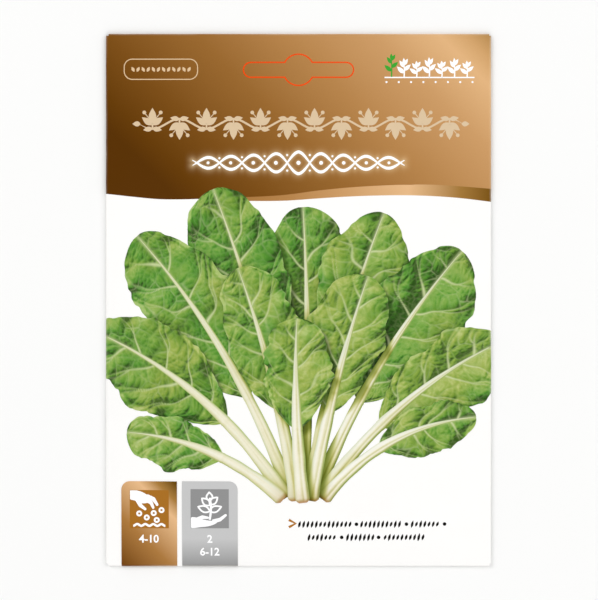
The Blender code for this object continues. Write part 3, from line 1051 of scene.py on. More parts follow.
def fromSideVein(along, across, out, leaf, length, seed):
    # Distance in pixels to the nearest side vein or its fork. They leave the midrib in turn,
    # none quite where a rule would put it, and run out towards the tip
    side = np.where(across > 0, 1.0, 0.0)
    straight, curved = picture["veinSlant"]
    wander = picture["veinWander"] * (softNoise(along / 19, across / 19, seed + 5) - 0.5)
    run = along - np.abs(across) * (straight + curved * out) + wander
    phase = run / length * leaf["veins"] + 0.5 * side
    nearest = np.full(phase.shape, 9.0)
    least, swing, run, bend = picture["forkFrom"]
    for k in (np.floor(phase), np.floor(phase) + 1):
        own = phase - k - picture["veinShift"] * (hashed(k, side, seed + 7) - 0.5)
        forkAt = least + swing * hashed(k, side, seed + 9)
        fork = np.where(hashed(k, side, seed + 8) > picture["forkAhead"], *picture["fork"])
        fork = fork * between(out, forkAt, forkAt + run) ** bend
        branch = np.where(out > forkAt, np.abs(own - fork), 9.0)
        nearest = np.minimum(nearest, np.minimum(np.abs(own), branch))
    return nearest / leaf["veins"] * length * picture["veinPitch"]


def spread(spot, beside, across):
    # The net of points that lie across from the spots of a middle line
    return [spot[:, k:k + 1] + beside[:, k:k + 1] * across for k in (0, 1)]


def leafPart(x, y, values, every):
    # A net with its values. Its two long edges, in steps of every points, make its outline
    sides = [np.stack([x[::step, side], y[::step, side]], -1) for step, side in ((every, 0), (-every, -1))]
    return {"x": x, "y": y, "values": values, "outline": np.concatenate(sides)}


def drawBlade(leaf, seed):
    start = leaf["blade"]
    length = (1 - start) * midrib(leaf, [0.0])[2]
    s = np.linspace(0.004, 0.998, int(length / picture["spacing"]))
    q = np.linspace(-1, 1, int(2 * leaf["half"] / picture["spacing"]) | 1)[None, :]
    spot, beside, _ = midrib(leaf, start + (1 - start) * s)
    low, high = picture["profile"]
    profile = s ** low * (1 - s) ** high
    halves = []
    for side in (-1, 1):
        wave = sum(depth * (softNoise(s * waves, s * 0 + side, seed + own) - 0.5)
                   for depth, waves, own in picture["margin"])
        half = leaf["half"] * profile / profile.max() * (1 + side * leaf["lean"]) * (1 + wave)
        halves.append(half[:, None])
    half = np.where(q < 0, *halves)
    out = np.abs(q) + 0 * half
    across = q * half
    s = s[:, None] + 0 * q
    along = s * length

    def noise(name):
        size, own = picture["noise"][name]
        return softNoise(along / size, across / size, seed + own)

    def puff(name, distance):
        tall, reach, power = picture[name]
        return tall * (1 - near(distance, reach, power))

    # The blade's relief, which the light shows: puffs between the veins, folds, and a waved margin
    fromVein = fromSideVein(along, across, out, leaf, length, seed)
    nearest = np.minimum(fromVein, np.abs(across) * 0.9 + 0.3)
    bend = picture["cellBend"]
    bentX = along / picture["cellSize"] + bend * noise("bend")
    bentY = across / picture["cellSize"] + bend * softNoise(along / 19 + 7, across / 19, seed + 14)
    edge = cellEdge(bentX, bentY, seed + 11) * picture["cellSize"]
    ratio = picture["fineRatio"]
    fine = cellEdge(bentX * ratio, bentY * ratio, seed + 19) * picture["fineCell"]
    ruffle, pitch, uneven = picture["ruffle"]
    curl = np.sin(2 * np.pi * along / pitch + 1.1 * np.sign(q) + seed
                  + uneven * softNoise(along / 30, out, seed + 21))
    lifting, falling = picture["cup"]
    swell, share = picture["swell"]
    rise = (puff("puff", nearest)
            + puff("cellPuff", edge) * noise("cells")
            + puff("finePuff", fine)
            + ruffle * out ** 3 * curl
            + half * (lifting * out - falling * out ** 2)
            + swell * (noise("swell") + share * noise("smallSwell")))
    x, y = spread(spot, beside, across)
    lit, shine = litFrom(x, y, rise)

    # Here and there the margin rolls over and shows its pale underside
    size, least, full = picture["rolls"]
    rolled = between(softNoise(along / size, np.sign(q) + 0 * along, seed + 51), least, full)
    rim = between(out, picture["rim"], 1.0)
    tone = picture["bladeTone"]
    away, reach = tone["ribSideAt"]
    besideRib = near(np.abs(across) - away, reach) * np.where(across > 0, *tone["ribSides"])
    pale, inner, outer = tone["underside"]
    dark, middle, reach = tone["roll"]
    lip = pale * between(out, inner, outer) - dark * near(out - middle, reach)
    shade = (tone["base"] + lit * picture["contrast"] + tone["shine"] * shine + leaf["tone"]
             + tone["slow"] * (noise("slow") - 0.5) + tone["fine"] * (noise("fine") - 0.5)
             - besideRib * between(s, 1.2, 0.2) - tone["rim"] * rim * (lit < 0)
             + rolled * lip)
    tone = picture["veinTone"]
    fade = between(s, *tone["alongFade"]) * between(out, *tone["outFade"])
    size = picture["veinHalf"]
    least, more, power = size["side"]
    veins = [tone["side"] * fade * near(fromVein, least + more * (1 - out) ** power),
             tone["net"] * near(edge, size["net"]) * noise("net") ** 1.5,
             tone["fineNet"] * near(fine, size["fineNet"]),
             tone["midrib"] * near(across, size["midrib"])]
    vein = np.max(veins, axis=0) + tone["rim"] * rim * (lit > 0)
    tone = picture["warmth"]
    gain, reach = tone["veins"]
    loss, inner, outer = tone["margin"]
    warm = (tone["base"] + leaf["warm"] + tone["slow"] * (noise("slowWarmth") - 0.5)
            + tone["fine"] * (noise("fineWarmth") - 0.5)
            + gain * near(nearest, reach) - loss * between(out, inner, outer))
    return leafPart(x, y, (shade, vein, warm), 3)


def drawStem(leaf, seed):
    start = leaf["blade"]
    length = midrib(leaf, [0.0])[2]
    u = np.linspace(0, 0.985, int(length / (picture["stemStretch"] * picture["spacing"])))
    q = np.linspace(-1, 1, picture["stemAcross"])[None, :]
    spot, beside, _ = midrib(leaf, u)
    neck = picture["neck"] * leaf["stem"]
    lower = leaf["stem"] + (neck - leaf["stem"]) * between(u, 0, start) ** 0.7
    upper = neck * (1 - between(u, start, 1)) ** 1.15 + picture["tipHalf"]
    uneven, waves = picture["stemWave"]
    half = np.where(u < start, lower, upper) * (1 + uneven * (softNoise(u * waves, u * 0, seed + 41) - 0.5))
    half = (half * between(u * length, *picture["foot"]) ** 0.4)[:, None]
    u = u[:, None]
    across = q * half
    along = u * length + 0 * q
    depth, middle, reach = picture["groove"]
    groove = depth * near(q - middle, reach) * between(u, 1.4, 0.4)
    tall, edge = picture["round"]
    rise = half * (tall * np.sqrt(edge - q ** 2) - groove)
    x, y = spread(spot, beside, across)
    lit, shine = litFrom(x, y, rise)
    streak = sum(share * (softNoise(along / size, q * lines + shift, seed + own) - 0.5)
                 for share, size, lines, shift, own in picture["streaks"])
    tone = picture["stemTone"]
    shade = tone["base"] + lit * picture["stemContrast"] + tone["shine"] * shine + tone["streak"] * streak
    tone = picture["stemGreen"]
    green = (tone["blade"] * between(u, start, 1) ** 1.3 + tone["sides"] * np.abs(q) ** 3
             + tone["streak"] * streak
             + tone["flank"] * between(u, 0.02, 0.32) * between(q, 0.45, 0.95))
    brown = sum(strength * near(along, reach) for strength, reach in picture["stemBrown"])
    return leafPart(x, y, (shade, green, brown), 4)


def awayFrom(outline, x, y):
    # Distance to an outline, less than nought inside it
    nearest = np.full(x.shape, 1e9)
    inside = np.zeros(x.shape, dtype=bool)
    for (ax, ay), (bx, by) in zip(outline, np.roll(outline, -1, 0)):
        dx = bx - ax
        dy = by - ay
        share = np.clip(((x - ax) * dx + (y - ay) * dy) / (dx * dx + dy * dy + 1e-12), 0, 1)
        nearest = np.minimum(nearest, (x - ax - share * dx) ** 2 + (y - ay - share * dy) ** 2)
        if dy != 0:
            inside ^= ((ay > y) != (by > y)) & (x < dx * (y - ay) / dy + ax)
    return np.where(inside, -1, 1) * np.sqrt(nearest)


def underOthers(x, y, above):
    # How much light is left under the leaves above, and which points they hide
    light = np.ones(x.shape)
    hidden = np.zeros(x.shape, dtype=bool)
    shiftX, shiftY = picture["shadowShift"]
    depth, reach = picture["contact"]
    for outline in above:
        low = outline.min(0) - picture["shadowWithin"]
        high = outline.max(0) + picture["shadowWithin"]
        close = (x > low[0]) & (x < high[0]) & (y > low[1]) & (y < high[1])
        if close.any():
            straight = awayFrom(outline, x[close], y[close])
            shifted = awayFrom(outline, x[close] + shiftX, y[close] + shiftY)
            cast = np.clip(0.5 - shifted / picture["shadowSoft"], 0, 1)
            cast = picture["shadowDepth"] * cast * cast * (3 - 2 * cast)
            light[close] *= 1 - cast - depth * near(np.maximum(straight, 0), reach, 1)
            hidden[close] |= straight < -picture["hiddenBy"]
    return light, hidden


def printPart(name, part, above, lift, ink):
    # A leaf or stem as a printed layer, without the squares that others hide
    x = part["x"].ravel()
    y = part["y"].ravel()
    light, hidden = underOthers(x, y, above)
    s, t = atPixel(x, y)
    lost = hidden | (s <= printLeft) | (s >= printRight)
    faces = [face for face in gridFaces(*part["x"].shape) if not all(lost[k] for k in face)]
    kept = sorted({k for face in faces for k in face})
    number = {k: n for n, k in enumerate(kept)}
    faces = [tuple(number[k] for k in face) for face in faces]
    points = np.stack([np.clip(s, printLeft, printRight), t, 0 * s], -1)[kept]
    tissue = np.stack([*(value.ravel() for value in part["values"]), light], -1)
    closeSkin(name, points, faces, ink, lift, tissue=np.clip(tissue[kept], 0, 1))


def makePicture():
    drawn = [(drawBlade(leaf, 100 + 10 * n), drawStem(leaf, 100 + 10 * n)) for n, leaf in enumerate(leaves)]
    for n, (blade, stem) in enumerate(drawn):
        above = [part["outline"] for pair in drawn[n + 1:] for part in pair]
        lift = lifts["leaf"] + n * lifts["leafStep"]
        printPart(f"printed_leaf_{n + 1}", blade, above, lift, "printed leaf")
        printPart(f"printed_stem_{n + 1}", stem, above, lift + lifts["leafStep"] / 2, "printed stem")


makePicture()
print("picture printed")


def roundedBox(box, radii, steps=8):
    # In photo pixels; radii for the upper left, upper right, lower right and lower left corners
    x0, y0, x1, y1 = box
    corners = ((x0, y0, 1, 1), (x1, y0, -1, 1), (x1, y1, -1, -1), (x0, y1, 1, -1))
    outline = []
    for number, ((x, y, inX, inY), radius) in enumerate(zip(corners, radii)):
        first = math.pi * (1 + number / 2)
        for turn in np.linspace(first, first + math.pi / 2, steps) if radius else [first]:
            outline.append((x + radius * (inX + math.cos(turn)), y + radius * (inY + math.sin(turn))))
    return outline


# The header's line artwork: a frame of grains, a garland, a flourish and a row of sprouts
grainFrame = {"box": (124.2, 59.3, 197.6, 79.5), "round": 8.0, "stroke": 0.95,
              "grains": 12, "first": (133.0, 69.5), "pitch": 5.1, "grain": (5.6, 1.5), "tilt": 0.5}


def makeGrainFrame():
    art = flatArt("pale cream print", atPixel)
    outline = roundedBox(grainFrame["box"], [grainFrame["round"]] * 4)
    art.strip(outline, grainFrame["stroke"] / 2, closed=True)
    grain = grainMotif(*grainFrame["grain"], grainFrame["tilt"])
    art.repeat(grain, grainFrame["grains"], grainFrame["first"], grainFrame["pitch"], -2 * grainFrame["tilt"])
    art.lay("grain_frame_print", "ornament")


makeGrainFrame()

# A sprig's leaves are given as their length and half width, and as their foot and how they turn
garland = {"left": 139.0, "middle": 124.0, "wave": 5.0, "pitch": 27.0, "sprigs": 12, "stem": 2.0,
           "stalk": ([(0, 0), (0, 4), (0, 8)], (0.9, 0.8, 0.6)),
           "leaf": (14.5, 3.7), "leafFoot": (0, 6.5),
           "sideLeaves": (((13.0, 3.2), (0, 4), 0.95), ((9.5, 2.5), (0, 0.5), 1.75)),
           "twig": ([(0, 5), (4.2, 11.5), (7.6, 15.5)], (0.5, 0.45, 0.4)),
           "berry": 1.9, "berrySpot": (8.2, 16.4), "bud": (8.0, 2.6), "budInset": 1.5}


def sprigMotif():
    sprig = flatArt()
    sprig.strip(*garland["stalk"], 1)
    sprig.stamp(leafShape(*garland["leaf"], 11), garland["leafFoot"], level=2)
    twig, halves = garland["twig"]
    berryX, berryY = garland["berrySpot"]
    for side in (-1, 1):
        for level, (sizes, foot, turn) in enumerate(garland["sideLeaves"], 3):
            sprig.stamp(leafShape(*sizes), foot, turn * side, level)
        sprig.strip([(-x * side, y) for x, y in twig], halves, 5)
        sprig.stamp(discShape(garland["berry"]), (-berryX * side, berryY), level=6)
    return sprig


def makeGarland():
    # A running stem with a sprig in each of its hollows
    first, pitch, count, middle = (garland[key] for key in ("left", "pitch", "sprigs", "middle"))
    last = first + pitch * count
    x = np.linspace(first, last, 20 * count)
    run = (x - first) / pitch
    ends = np.clip(np.minimum(run, count - run) / 0.5, 0.25, 1)
    art = flatArt("cream print", atPixel)
    art.strip(zip(x, middle + garland["wave"] * np.sin(np.pi * run)), garland["stem"] / 2 * ends)
    sprig = sprigMotif()
    for number, way in enumerate((1, -1)):
        sprig.points = [(way * x, way * y, z) for x, y, z in sprig.points]
        spot = (first + (number + 0.5) * pitch, middle + way * garland["wave"])
        art.repeat(sprig, count // 2, spot, 2 * pitch)
    for side, end in ((1, first), (-1, last)):
        spot = (end + side * garland["budInset"], middle)
        art.stamp(leafShape(*garland["bud"]), spot, side * math.pi / 2, 1)
    art.lay("garland_print", "ornament")


makeGarland()

flourish = {"centre": (298.5, 163.0), "reach": 106.0, "pitch": 22.6, "tall": 11.0, "endTall": 4.6,
            "thick": 1.5, "thin": 0.8, "dot": 2.1, "endDot": 1.4, "outerDot": 1.1, "outerPlace": 0.78,
            "glowReach": 3.0, "glowStrength": 0.50, "glowBox": (183.0, 141.0, 414.0, 185.0), "glowStep": 0.9,
            "fade": 4, "endShare": 0.4, "steps": 360}


def flourishHeight(x):
    share = np.abs(x) / flourish["reach"]
    return flourish["tall"] + (flourish["endTall"] - flourish["tall"]) * share ** 0.8


def makeFlourish():
    # Two strands that cross and part, closer together towards both ends, with a dot in each opening
    art = flatArt("white print", atPixel)
    middleX, middleY = flourish["centre"]
    reach = flourish["reach"]
    pitch = flourish["pitch"]
    x = np.linspace(-reach, reach, flourish["steps"])
    turn = np.pi * x / pitch
    half = flourish["thin"] + (flourish["thick"] - flourish["thin"]) * np.abs(np.cos(turn))
    half = half * np.clip((reach - np.abs(x)) / flourish["fade"], flourish["endShare"], 1)
    strokes = []
    for level, side in ((0, -1), (2, 1)):
        strand = np.stack([middleX + x, middleY + side * flourishHeight(x) * np.cos(turn)], -1)
        art.strip(strand, half, level)
        strokes += list(strand[::2])
    for k in range(-4, 5):
        place = k * pitch
        dots = [(place, 0, flourish["dot"] + (flourish["endDot"] - flourish["dot"]) * abs(place) / reach)]
        if k < 4:
            away = flourish["outerPlace"] * flourishHeight(place + pitch / 2)
            dots += [(place + pitch / 2, side * away, flourish["outerDot"]) for side in (-1, 1)]
        for dotX, dotY, radius in dots:
            strokes.append((middleX + dotX, middleY + dotY))
            art.stamp(discShape(radius), strokes[-1], level=4)
    art.lay("flourish_print", "ornament")

    # The glow behind it is the header's own colour, paler near the strokes
    x0, y0, x1, y1 = flourish["glowBox"]
    x, y = np.meshgrid(np.arange(x0, x1, flourish["glowStep"]), np.arange(y1, y0, -flourish["glowStep"]))
    nearest = np.full(x.shape, 1e9)
    for spotX, spotY in strokes:
        nearest = np.minimum(nearest, np.hypot(x - spotX, y - spotY))
    glow = flourish["glowStrength"] * near(nearest, flourish["glowReach"], 1.3)
    fromRim = np.minimum(np.minimum(x - x0, x.max() - x), np.minimum(y - y.min(), y1 - y))
    glow = glow * np.clip(fromRim / flourish["fade"], 0, 1)
    s, t = atPixel(x.ravel(), y.ravel())
    closeSkin("glow_print", np.stack([s, t, 0 * s], -1), gridFaces(*x.shape), "soft glow print",
              lifts["glow"], tissue=np.stack([glow.ravel()] * 4, -1))


makeFlourish()

# A seedling's leaves are given as how far up they sit and how they turn
sprouts = {"line": (384.5, 474.5, 77.6), "stroke": 1.3, "first": 391.5, "pitch": 12.6, "count": 7,
           "stem": [(0, 0), (0.3, 6), (0, 12.5)], "stemHalves": (0.7, 0.6, 0.5), "leaf": (9.5, 2.1),
           "leaves": ((4.0, 0.85), (6.5, -0.85), (9.5, 0.62), (11.5, -0.55), (12.0, 0.05)),
           "leafShrink": 0.08, "tallFirst": 1.42, "heights": (0.86, 1.14),
           "dots": 8, "dotY": 82.2, "dot": 1.1, "dotInset": 2.0}


def drawSprout(art, tall):
    art.strip([(x, y * tall) for x, y in sprouts["stem"]], sprouts["stemHalves"])
    for number, (up, turn) in enumerate(sprouts["leaves"]):
        size = 1.0 - sprouts["leafShrink"] * number
        art.stamp(leafShape(*sprouts["leaf"]), (0, up * tall), turn, number + 1, size)


def makeSprouts():
    # White seedlings on a line, the first of them with green leaves, over a row of dots
    first, pitch, inset = (sprouts[key] for key in ("first", "pitch", "dotInset"))
    x0, x1, y = sprouts["line"]
    art = flatArt("white print", atPixel)
    art.strip([(x0, y), ((x0 + x1) / 2, y), (x1, y)], sprouts["stroke"] / 2)
    sprout = flatArt()
    drawSprout(sprout, 1.0)
    art.repeat(sprout, sprouts["count"] - 1, (first + pitch, y), pitch, 0.0, *sprouts["heights"], 4)
    dot = flatArt()
    dot.stamp(discShape(sprouts["dot"], 8))
    space = (x1 - x0 - 2 * inset) / (sprouts["dots"] - 1)
    art.repeat(dot, sprouts["dots"], (x0 + inset, sprouts["dotY"]), space)
    art.lay("sprout_print", "ornament")
    footX, footY = atPixel(first, y - 0.5)
    green = flatArt("green print", lambda x, y: (footX + x * px, footY + y * px))
    drawSprout(green, sprouts["tallFirst"])
    green.lay("green_sprout_print", "ornament")


makeSprouts()
print("header ornaments printed")

# Signs, in photo pixels from the upper left corner of their square. A finger is its points and its
# half widths
signs = {
    "inset": 0.4,
    "ring": (3.0, 1.1),
    "rings": [(24.0, 23.0), (31.8, 20.0), (17.0, 27.5), (27.0, 30.0), (9.5, 23.5)],
    "soil": 35.0,
    "soilWave": 0.9,
    "soilPitch": 8.03,
    "soilInset": 3.5,
    "stroke": 1.1,
    "stalk": (1.2, 22.0),       # its sway and its height
    "leafHalf": 3.0,
    "leafStroke": 0.85,
    "leaves": [(8.5, 1.2, 12.5), (8.5, -1.2, 12.5), (14.5, 0.85, 10.5), (15.5, -0.85, 10.5),
               (19.0, 0.05, 8.5)],
    "sowingPalm": [(0, 0), (8, 0.6), (15, 3.2), (20, 7), (20.5, 10.5), (16.5, 13), (11, 13), (5, 10.5),
                   (0, 8.5)],
    "sowingFingers": [([(17, 6.5), (24, 9), (27.5, 14.5)], (2.6, 2.0, 1.3)),
                      ([(16, 9.5), (21.5, 12.5), (23.5, 17.5)], (2.4, 1.9, 1.3)),
                      ([(8, 10), (11, 15.5), (15.5, 19)], (2.3, 1.9, 1.3))],
    "holdingPalm": [(0, 29), (7, 28.6), (13, 30.6), (21, 31.6), (26, 30.6), (26, 33.8), (19, 36.8), (10, 38),
                    (0, 38.4)],
    "holdingFingers": [([(22, 32.4), (29.5, 30.4), (35, 26)], (2.0, 1.8, 1.2)),
                       ([(7, 30.4), (12, 28), (17, 28.6)], (2.2, 1.8, 1.2))],
}
figures = {"tall": 7.8, "capShare": 0.72, "weight": 0.022}


def smoothLoop(points, steps=6):
    # A closed curve through the points
    here = np.array(points, dtype=float)
    before, after, last = (np.roll(here, shift, 0) for shift in (1, -1, -2))
    spots = [0.5 * (2 * here + (after - before) * u + (2 * before - 5 * here + 4 * after - last) * u ** 2
                    + (3 * here - before - 3 * after + last) * u ** 3) for u in np.arange(steps) / steps]
    return np.stack(spots, 1).reshape(-1, 2)


def drawHand(art, x0, y0, palm, fingers):
    # The palm runs out at the square's left edge, and each finger ends round
    art.shape(np.maximum(smoothLoop(palm), signs["inset"]) + (x0, y0), 8)
    for number, (points, halves) in enumerate(fingers):
        spots = [(x0 + x, y0 + y) for x, y in points]
        art.strip(spots, halves, 9 + 2 * number)
        art.stamp(discShape(halves[-1]), spots[-1], level=10 + 2 * number)


def drawSowing(art, x0, y0, x1):
    # A hand that drops round seeds on a drilled bed
    outer, inner = signs["ring"]
    inset = signs["soilInset"]
    for x, y in signs["rings"]:
        art.ring(discShape((outer + inner) / 2, 18), (outer - inner) / 2, (x0 + x, y0 + y))
    x = np.linspace(inset, x1 - x0 - inset, 90)
    wave = signs["soil"] + signs["soilWave"] * np.cos(2 * np.pi * (x - inset) / signs["soilPitch"])
    art.strip(zip(x0 + x, y0 + wave), signs["stroke"], 1)
    drawHand(art, x0, y0, signs["sowingPalm"], signs["sowingFingers"])


def drawGrowing(art, x0, y0, x1):
    # A young plant with outlined leaves, held in a hand
    middle = (x0 + x1) / 2
    ground = y0 + signs["holdingPalm"][2][1]
    sway, tall = signs["stalk"]
    stalk = [(middle + sway * math.sin(3 * u), ground - tall * u) for u in np.linspace(0, 1, 16)]
    art.strip(stalk, signs["stroke"])
    for number, (up, turn, length) in enumerate(signs["leaves"]):
        outline = leafShape(length, signs["leafHalf"], 13, 0.85)
        art.ring(outline, signs["leafStroke"], (middle, ground - up), turn, number + 2)
    drawHand(art, x0, y0, signs["holdingPalm"], signs["holdingFingers"])


def makeTab(name, sign, drawSign):
    tab = tabs[name]
    art = flatArt(f"{name} tab print", atPixel)
    art.shape(roundedBox((tab["left"], tab["top"], tab["right"], midY - bottom / pxTall), tab["radii"], 12))
    art.lay(f"{name}_tab_print", "tab")
    art = flatArt(f"{name} square print", atPixel)
    art.shape(roundedBox(tab["square"], [0] * 4))
    art.lay(f"{name}_square_print", "square")
    art = flatArt("white print", atPixel)
    for text, x, y in tab["numbers"]:
        art.number(text, (x, y), figures["tall"])
    drawSign(art, *tab["square"][:3])
    art.lay(sign, "sign")


makeTab("brown", "sowing_sign_print", drawSowing)
makeTab("grey", "growing_sign_print", drawGrowing)

# The pointer and the two rows of grain marks at the lower right
grainRows = {
    "pointer": ((288.9, 519.0), (295.6, 522.7), (288.9, 526.4)), "pointerStroke": 1.3, "slant": 0.28,
    "groups": [(299.5, 523.5, 13), (361.5, 523.5, 10), (412.0, 523.5, 7),
               (309.0, 536.7, 7), (347.5, 536.7, 7), (385.0, 536.7, 10)],
    "bullets": [(356.3, 523.5), (406.2, 523.5), (444.3, 523.5), (341.6, 536.7), (378.4, 536.7)],
    "pitch": 4.2, "grain": (7.0, 1.25), "heights": (0.7, 1.25), "bullet": 1.8,
}


def makeRows():
    art = flatArt("chevron print", atPixel)
    art.strip(grainRows["pointer"], grainRows["pointerStroke"])
    art.lay("pointer_print", "ornament")
    art = flatArt("black print", atPixel)
    grain = grainMotif(*grainRows["grain"], -grainRows["slant"])
    for number, (x, y, count) in enumerate(grainRows["groups"]):
        art.repeat(grain, count, (x, y), grainRows["pitch"], 0.0, *grainRows["heights"], number + 10)
    for spot in grainRows["bullets"]:
        art.stamp(discShape(grainRows["bullet"]), spot)
    art.lay("grain_row_print", "ornament")


makeRows()
print("tabs and rows printed")

# The back, in millimetres as seen from behind: a calendar of twelve months with two seasons, three
# signs and two blocks of grain rows. It is laid on the blank to the left of the front
back = {
    "calendar": (-42.0, 11.0), "month": 7.0, "row": 5.5, "line": 0.22, "inset": 1.2,
    "number": 2.2, "numberUp": 2.3, "sowing": ((4, 10),), "gathering": ((2, 2), (6, 12)),
    "signs": (-29.0, 0.0, 29.0), "signY": -6.0, "signSide": 15.0,
    "blocks": ((-22.0, 5), (-41.5, 4)), "rowStep": 3.3, "left": -42.0, "grain": (1.7, 0.28), "pitch": 1.12,
    "rowGrains": 75, "lastRow": 46, "slant": 0.28, "heights": (0.6, 1.15),
}

# The three signs' own parts, from the middle of each sign
backSign = {
    "soil": -1.0, "soilReach": 5.5, "soilHalf": 0.3, "seed": (-1.5, -4.6), "seedSize": 1.1,
    "depth": (2.5, -1.8, -5.4), "spacing": (3.2, 3.8, -4.2), "arrowHalf": 0.2, "head": (1.1, 0.6),
    "stalkTop": 2.6, "stalkHalf": 0.22, "leaf": (3.0, 0.8), "leafFoot": 1.6, "leafStep": 0.5,
    "leafTurns": (-0.9, 0.9, 0.0), "sun": 2.2, "rays": 12, "ray": (3.0, 5.0), "rayHalves": (0.4, 0.15),
}


def onBack(x, y):
    return x * mm + 2 * left - np.pi * leftRadius, y * mm


def drawRules(art):
    # Thin lines round the months and round each sign
    x0, y0 = back["calendar"]
    half = back["line"] / 2
    for row in range(3):
        y = y0 + row * back["row"]
        art.strip([(x0 - half, y), (x0 + 12 * back["month"] + half, y)], half)
    for month in range(13):
        x = x0 + month * back["month"]
        art.strip([(x, y0), (x, y0 + 2 * back["row"])], half, 1)
    reach = back["signSide"] / 2
    for x in back["signs"]:
        corners = ((-reach, -reach), (reach, -reach), (reach, reach), (-reach, reach))
        art.ring(corners, half, (x, back["signY"]))


def drawBackSigns(art):
    # How deep to sow, how far apart, and where: a seed under the ground, two seedlings, and a sun
    deep, apart, sunny = back["signs"]
    y = back["signY"]
    soil = y + backSign["soil"]
    for x in (deep, apart):
        reach = backSign["soilReach"]
        art.strip([(x - reach, soil), (x + reach, soil)], backSign["soilHalf"])
    seedX, seedY = backSign["seed"]
    art.stamp(discShape(backSign["seedSize"]), (deep + seedX, y + seedY))
    aside, upper, lower = backSign["depth"]
    long, wide = backSign["head"]
    x = deep + aside
    art.strip([(x, y + upper), (x, y + lower)], backSign["arrowHalf"])
    for end, way in ((y + upper, -1), (y + lower, 1)):
        art.shape([(x, end), (x - wide, end + long * way), (x + wide, end + long * way)], 1)
    reach, tip, down = backSign["spacing"]
    for x in (deep + seedX, apart - tip, apart + tip):
        art.strip([(x, soil), (x, y + backSign["stalkTop"])], backSign["stalkHalf"], 1)
        for number, turn in enumerate(backSign["leafTurns"]):
            foot = y + backSign["leafFoot"] + backSign["leafStep"] * number
            art.stamp(leafShape(*backSign["leaf"]), (x, foot), turn, 2 + number)
    level = y + down
    art.strip([(apart - reach, level), (apart + reach, level)], backSign["arrowHalf"])
    for side in (-1, 1):
        x = apart + side * tip
        art.shape([(x, level), (x - side * long, level + wide), (x - side * long, level - wide)], 1)
    art.stamp(discShape(backSign["sun"], 24), (sunny, y))
    for turn in np.linspace(0, 2 * np.pi, backSign["rays"], endpoint=False):
        ray = [(sunny + math.cos(turn) * far, y + math.sin(turn) * far) for far in backSign["ray"]]
        art.strip(ray, backSign["rayHalves"])


def drawSeason(art, months, row):
    # Bars over the months of each stretch of a season
    x0, y0 = back["calendar"]
    inset = back["inset"]
    low = y0 + row * back["row"] + inset
    high = low + back["row"] - 2 * inset
    for first, last in months:
        start = x0 + (first - 1) * back["month"] + inset
        end = x0 + last * back["month"] - inset
        art.shape([(start, low), (end, low), (end, high), (start, high)])


def drawBackRows(art):
    grain = grainMotif(*back["grain"], -back["slant"], 4, mm)
    for block, (highest, count) in enumerate(back["blocks"]):
        for row in range(count):
            grains = back["rowGrains"] if row < count - 1 else back["lastRow"]
            start = (back["left"], highest - row * back["rowStep"])
            art.repeat(grain, grains, start, back["pitch"], 0.0, *back["heights"], 40 + 10 * block + row)
    x0, y0 = back["calendar"]
    for month in range(12):
        spot = (x0 + (month + 0.5) * back["month"], y0 + 2 * back["row"] + back["numberUp"])
        art.number(str(month + 1), spot, back["number"])


def makeBack(name, ink, draw, *more):
    art = flatArt(ink, onBack, mm)
    draw(art, *more)
    art.lay(name, "header")


makeBack("back_rules_print", "grey square print", drawRules)
makeBack("back_signs_print", "chevron print", drawBackSigns)
makeBack("sowing_season_print", "chevron print", drawSeason, back["sowing"], 1)
makeBack("gathering_season_print", "green print", drawSeason, back["gathering"], 0)
makeBack("back_rows_print", "black print", drawBackRows)
print("back printed")

# What the packet holds and what holds it together keep their solids and get their own finish:
# corky seed clusters, each a little lighter or darker, and dried glue, a little amber where it is thick
finishes = {
    "seed_heap": {"name": "corky husk", "noise": (0.7 * mm, 6.0), "more": {"Roughness": 0.7},
                  "cluster": 4.5 * mm, "clusterShare": 0.35,
                  "places": (0.25, 0.7), "colours": ("5F4223", "B08A57"),
                  "roughness": (0.62, 0.25), "bump": (0.8, 0.3 * mm)},
    "glue": {"name": "dried glue", "noise": (3.0 * mm, 3.0), "more": {"Distortion": 1.5}, "clusterShare": 0.0,
             "places": (0.35, 0.65), "colours": ("E9DFC4", "C9B27C"),
             "roughness": (0.45, -0.3), "bump": (0.3, 0.05 * mm)},
}


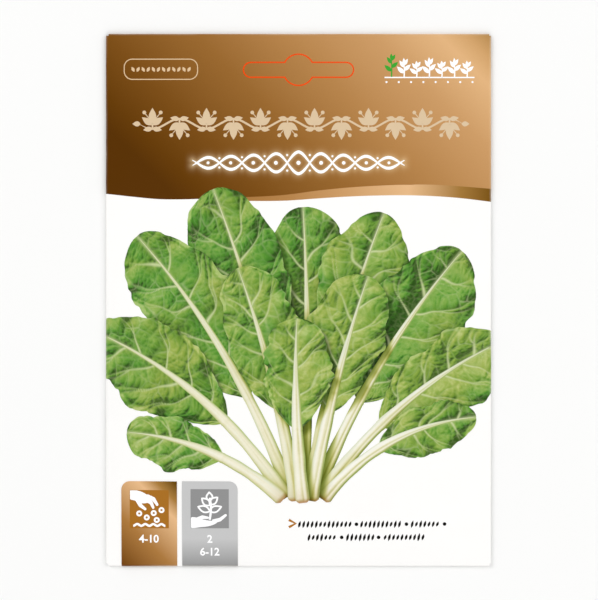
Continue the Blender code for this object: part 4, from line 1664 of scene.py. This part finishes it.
def dressNodes(part, look):
    def makeFinish(tree):
        noise = noiseWire(tree, *look["noise"], **look["more"])
        tone = noise
        if look["clusterShare"]:
            cluster = {"Vector": objectPlace(tree), "Scale": 1 / look["cluster"]}
            cluster = wireFrom(tree, "ShaderNodeTexVoronoi", cluster, "Color")
            own = partsOf(cluster, "ShaderNodeSeparateColor")[0] * look["clusterShare"]
            tone = (own + noise * (1 - look["clusterShare"])).clamped()
        smooth, swing = look["roughness"]
        return rampWire(tone, look["places"], look["colours"]), noise * swing + smooth, noise

    material = newMaterial(look["name"], makeFinish, *look["bump"])
    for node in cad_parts:
        if part in node:
            for place in bpy.data.objects[node].material_slots:
                place.material = material


for part, look in finishes.items():
    dressNodes(part, look)
print("seed and glue finished")

# Floor, light and surroundings
studio = {"floor": "F5F5F4", "floorRough": 0.9, "floorShine": 0.1, "side": 3.0, "drop": 0.02 * mm,
          "world": 0.72, "card": 0.04, "cardFrom": (0.86, 0.97), "size": 0.8,
          "softboxes": [((-0.75, 0.65, 0.9), 5.6), ((0.85, 0.35, 0.8), 3.6), ((0.1, -0.95, 0.75), 3.6)]}


def makeStudio():
    mesh = bpy.data.meshes.new("floor")
    side = studio["side"]
    corners = [(-side, -side, 0), (side, -side, 0), (side, side, 0), (-side, side, 0)]
    mesh.from_pydata(corners, [], [(0, 1, 2, 3)])
    floor = newObject("floor", mesh)
    floor.location.z = -studio["drop"]
    material = bpy.data.materials.new("pale floor")
    material.use_nodes = True
    shader = material.node_tree.nodes["Principled BSDF"].inputs
    shader["Base Color"].default_value = srgb(studio["floor"])
    shader["Roughness"].default_value = studio["floorRough"]
    shader["Specular IOR Level"].default_value = studio["floorShine"]
    mesh.materials.append(material)
    world = bpy.data.worlds.new("studio")
    world.use_nodes = True
    tree = world.node_tree
    # A dark card overhead keeps its shine off the flat print
    start, full = studio["cardFrom"]
    up = partsOf(wireFrom(tree, "ShaderNodeTexCoord", {}, "Generated"))[2]
    card = ((up - start) / (full - start)).clamped()
    bright, dark = ([studio[key]] * 3 + [1] for key in ("world", "card"))
    connect(tree, tree.nodes["Background"].inputs[0], mixColour(tree, card, bright, dark))
    bpy.context.scene.world = world
    for number, (place, power) in enumerate(studio["softboxes"]):
        light = bpy.data.lights.new(f"softbox{number}", "AREA")
        light.shape = "SQUARE"
        light.size = studio["size"]
        light.energy = power
        lamp = newObject(light.name, light)
        lamp.location = place
        lamp.rotation_euler = (-Vector(place)).to_track_quat("-Z", "Y").to_euler()
    bpy.context.scene.view_settings.view_transform = "Standard"


makeStudio()
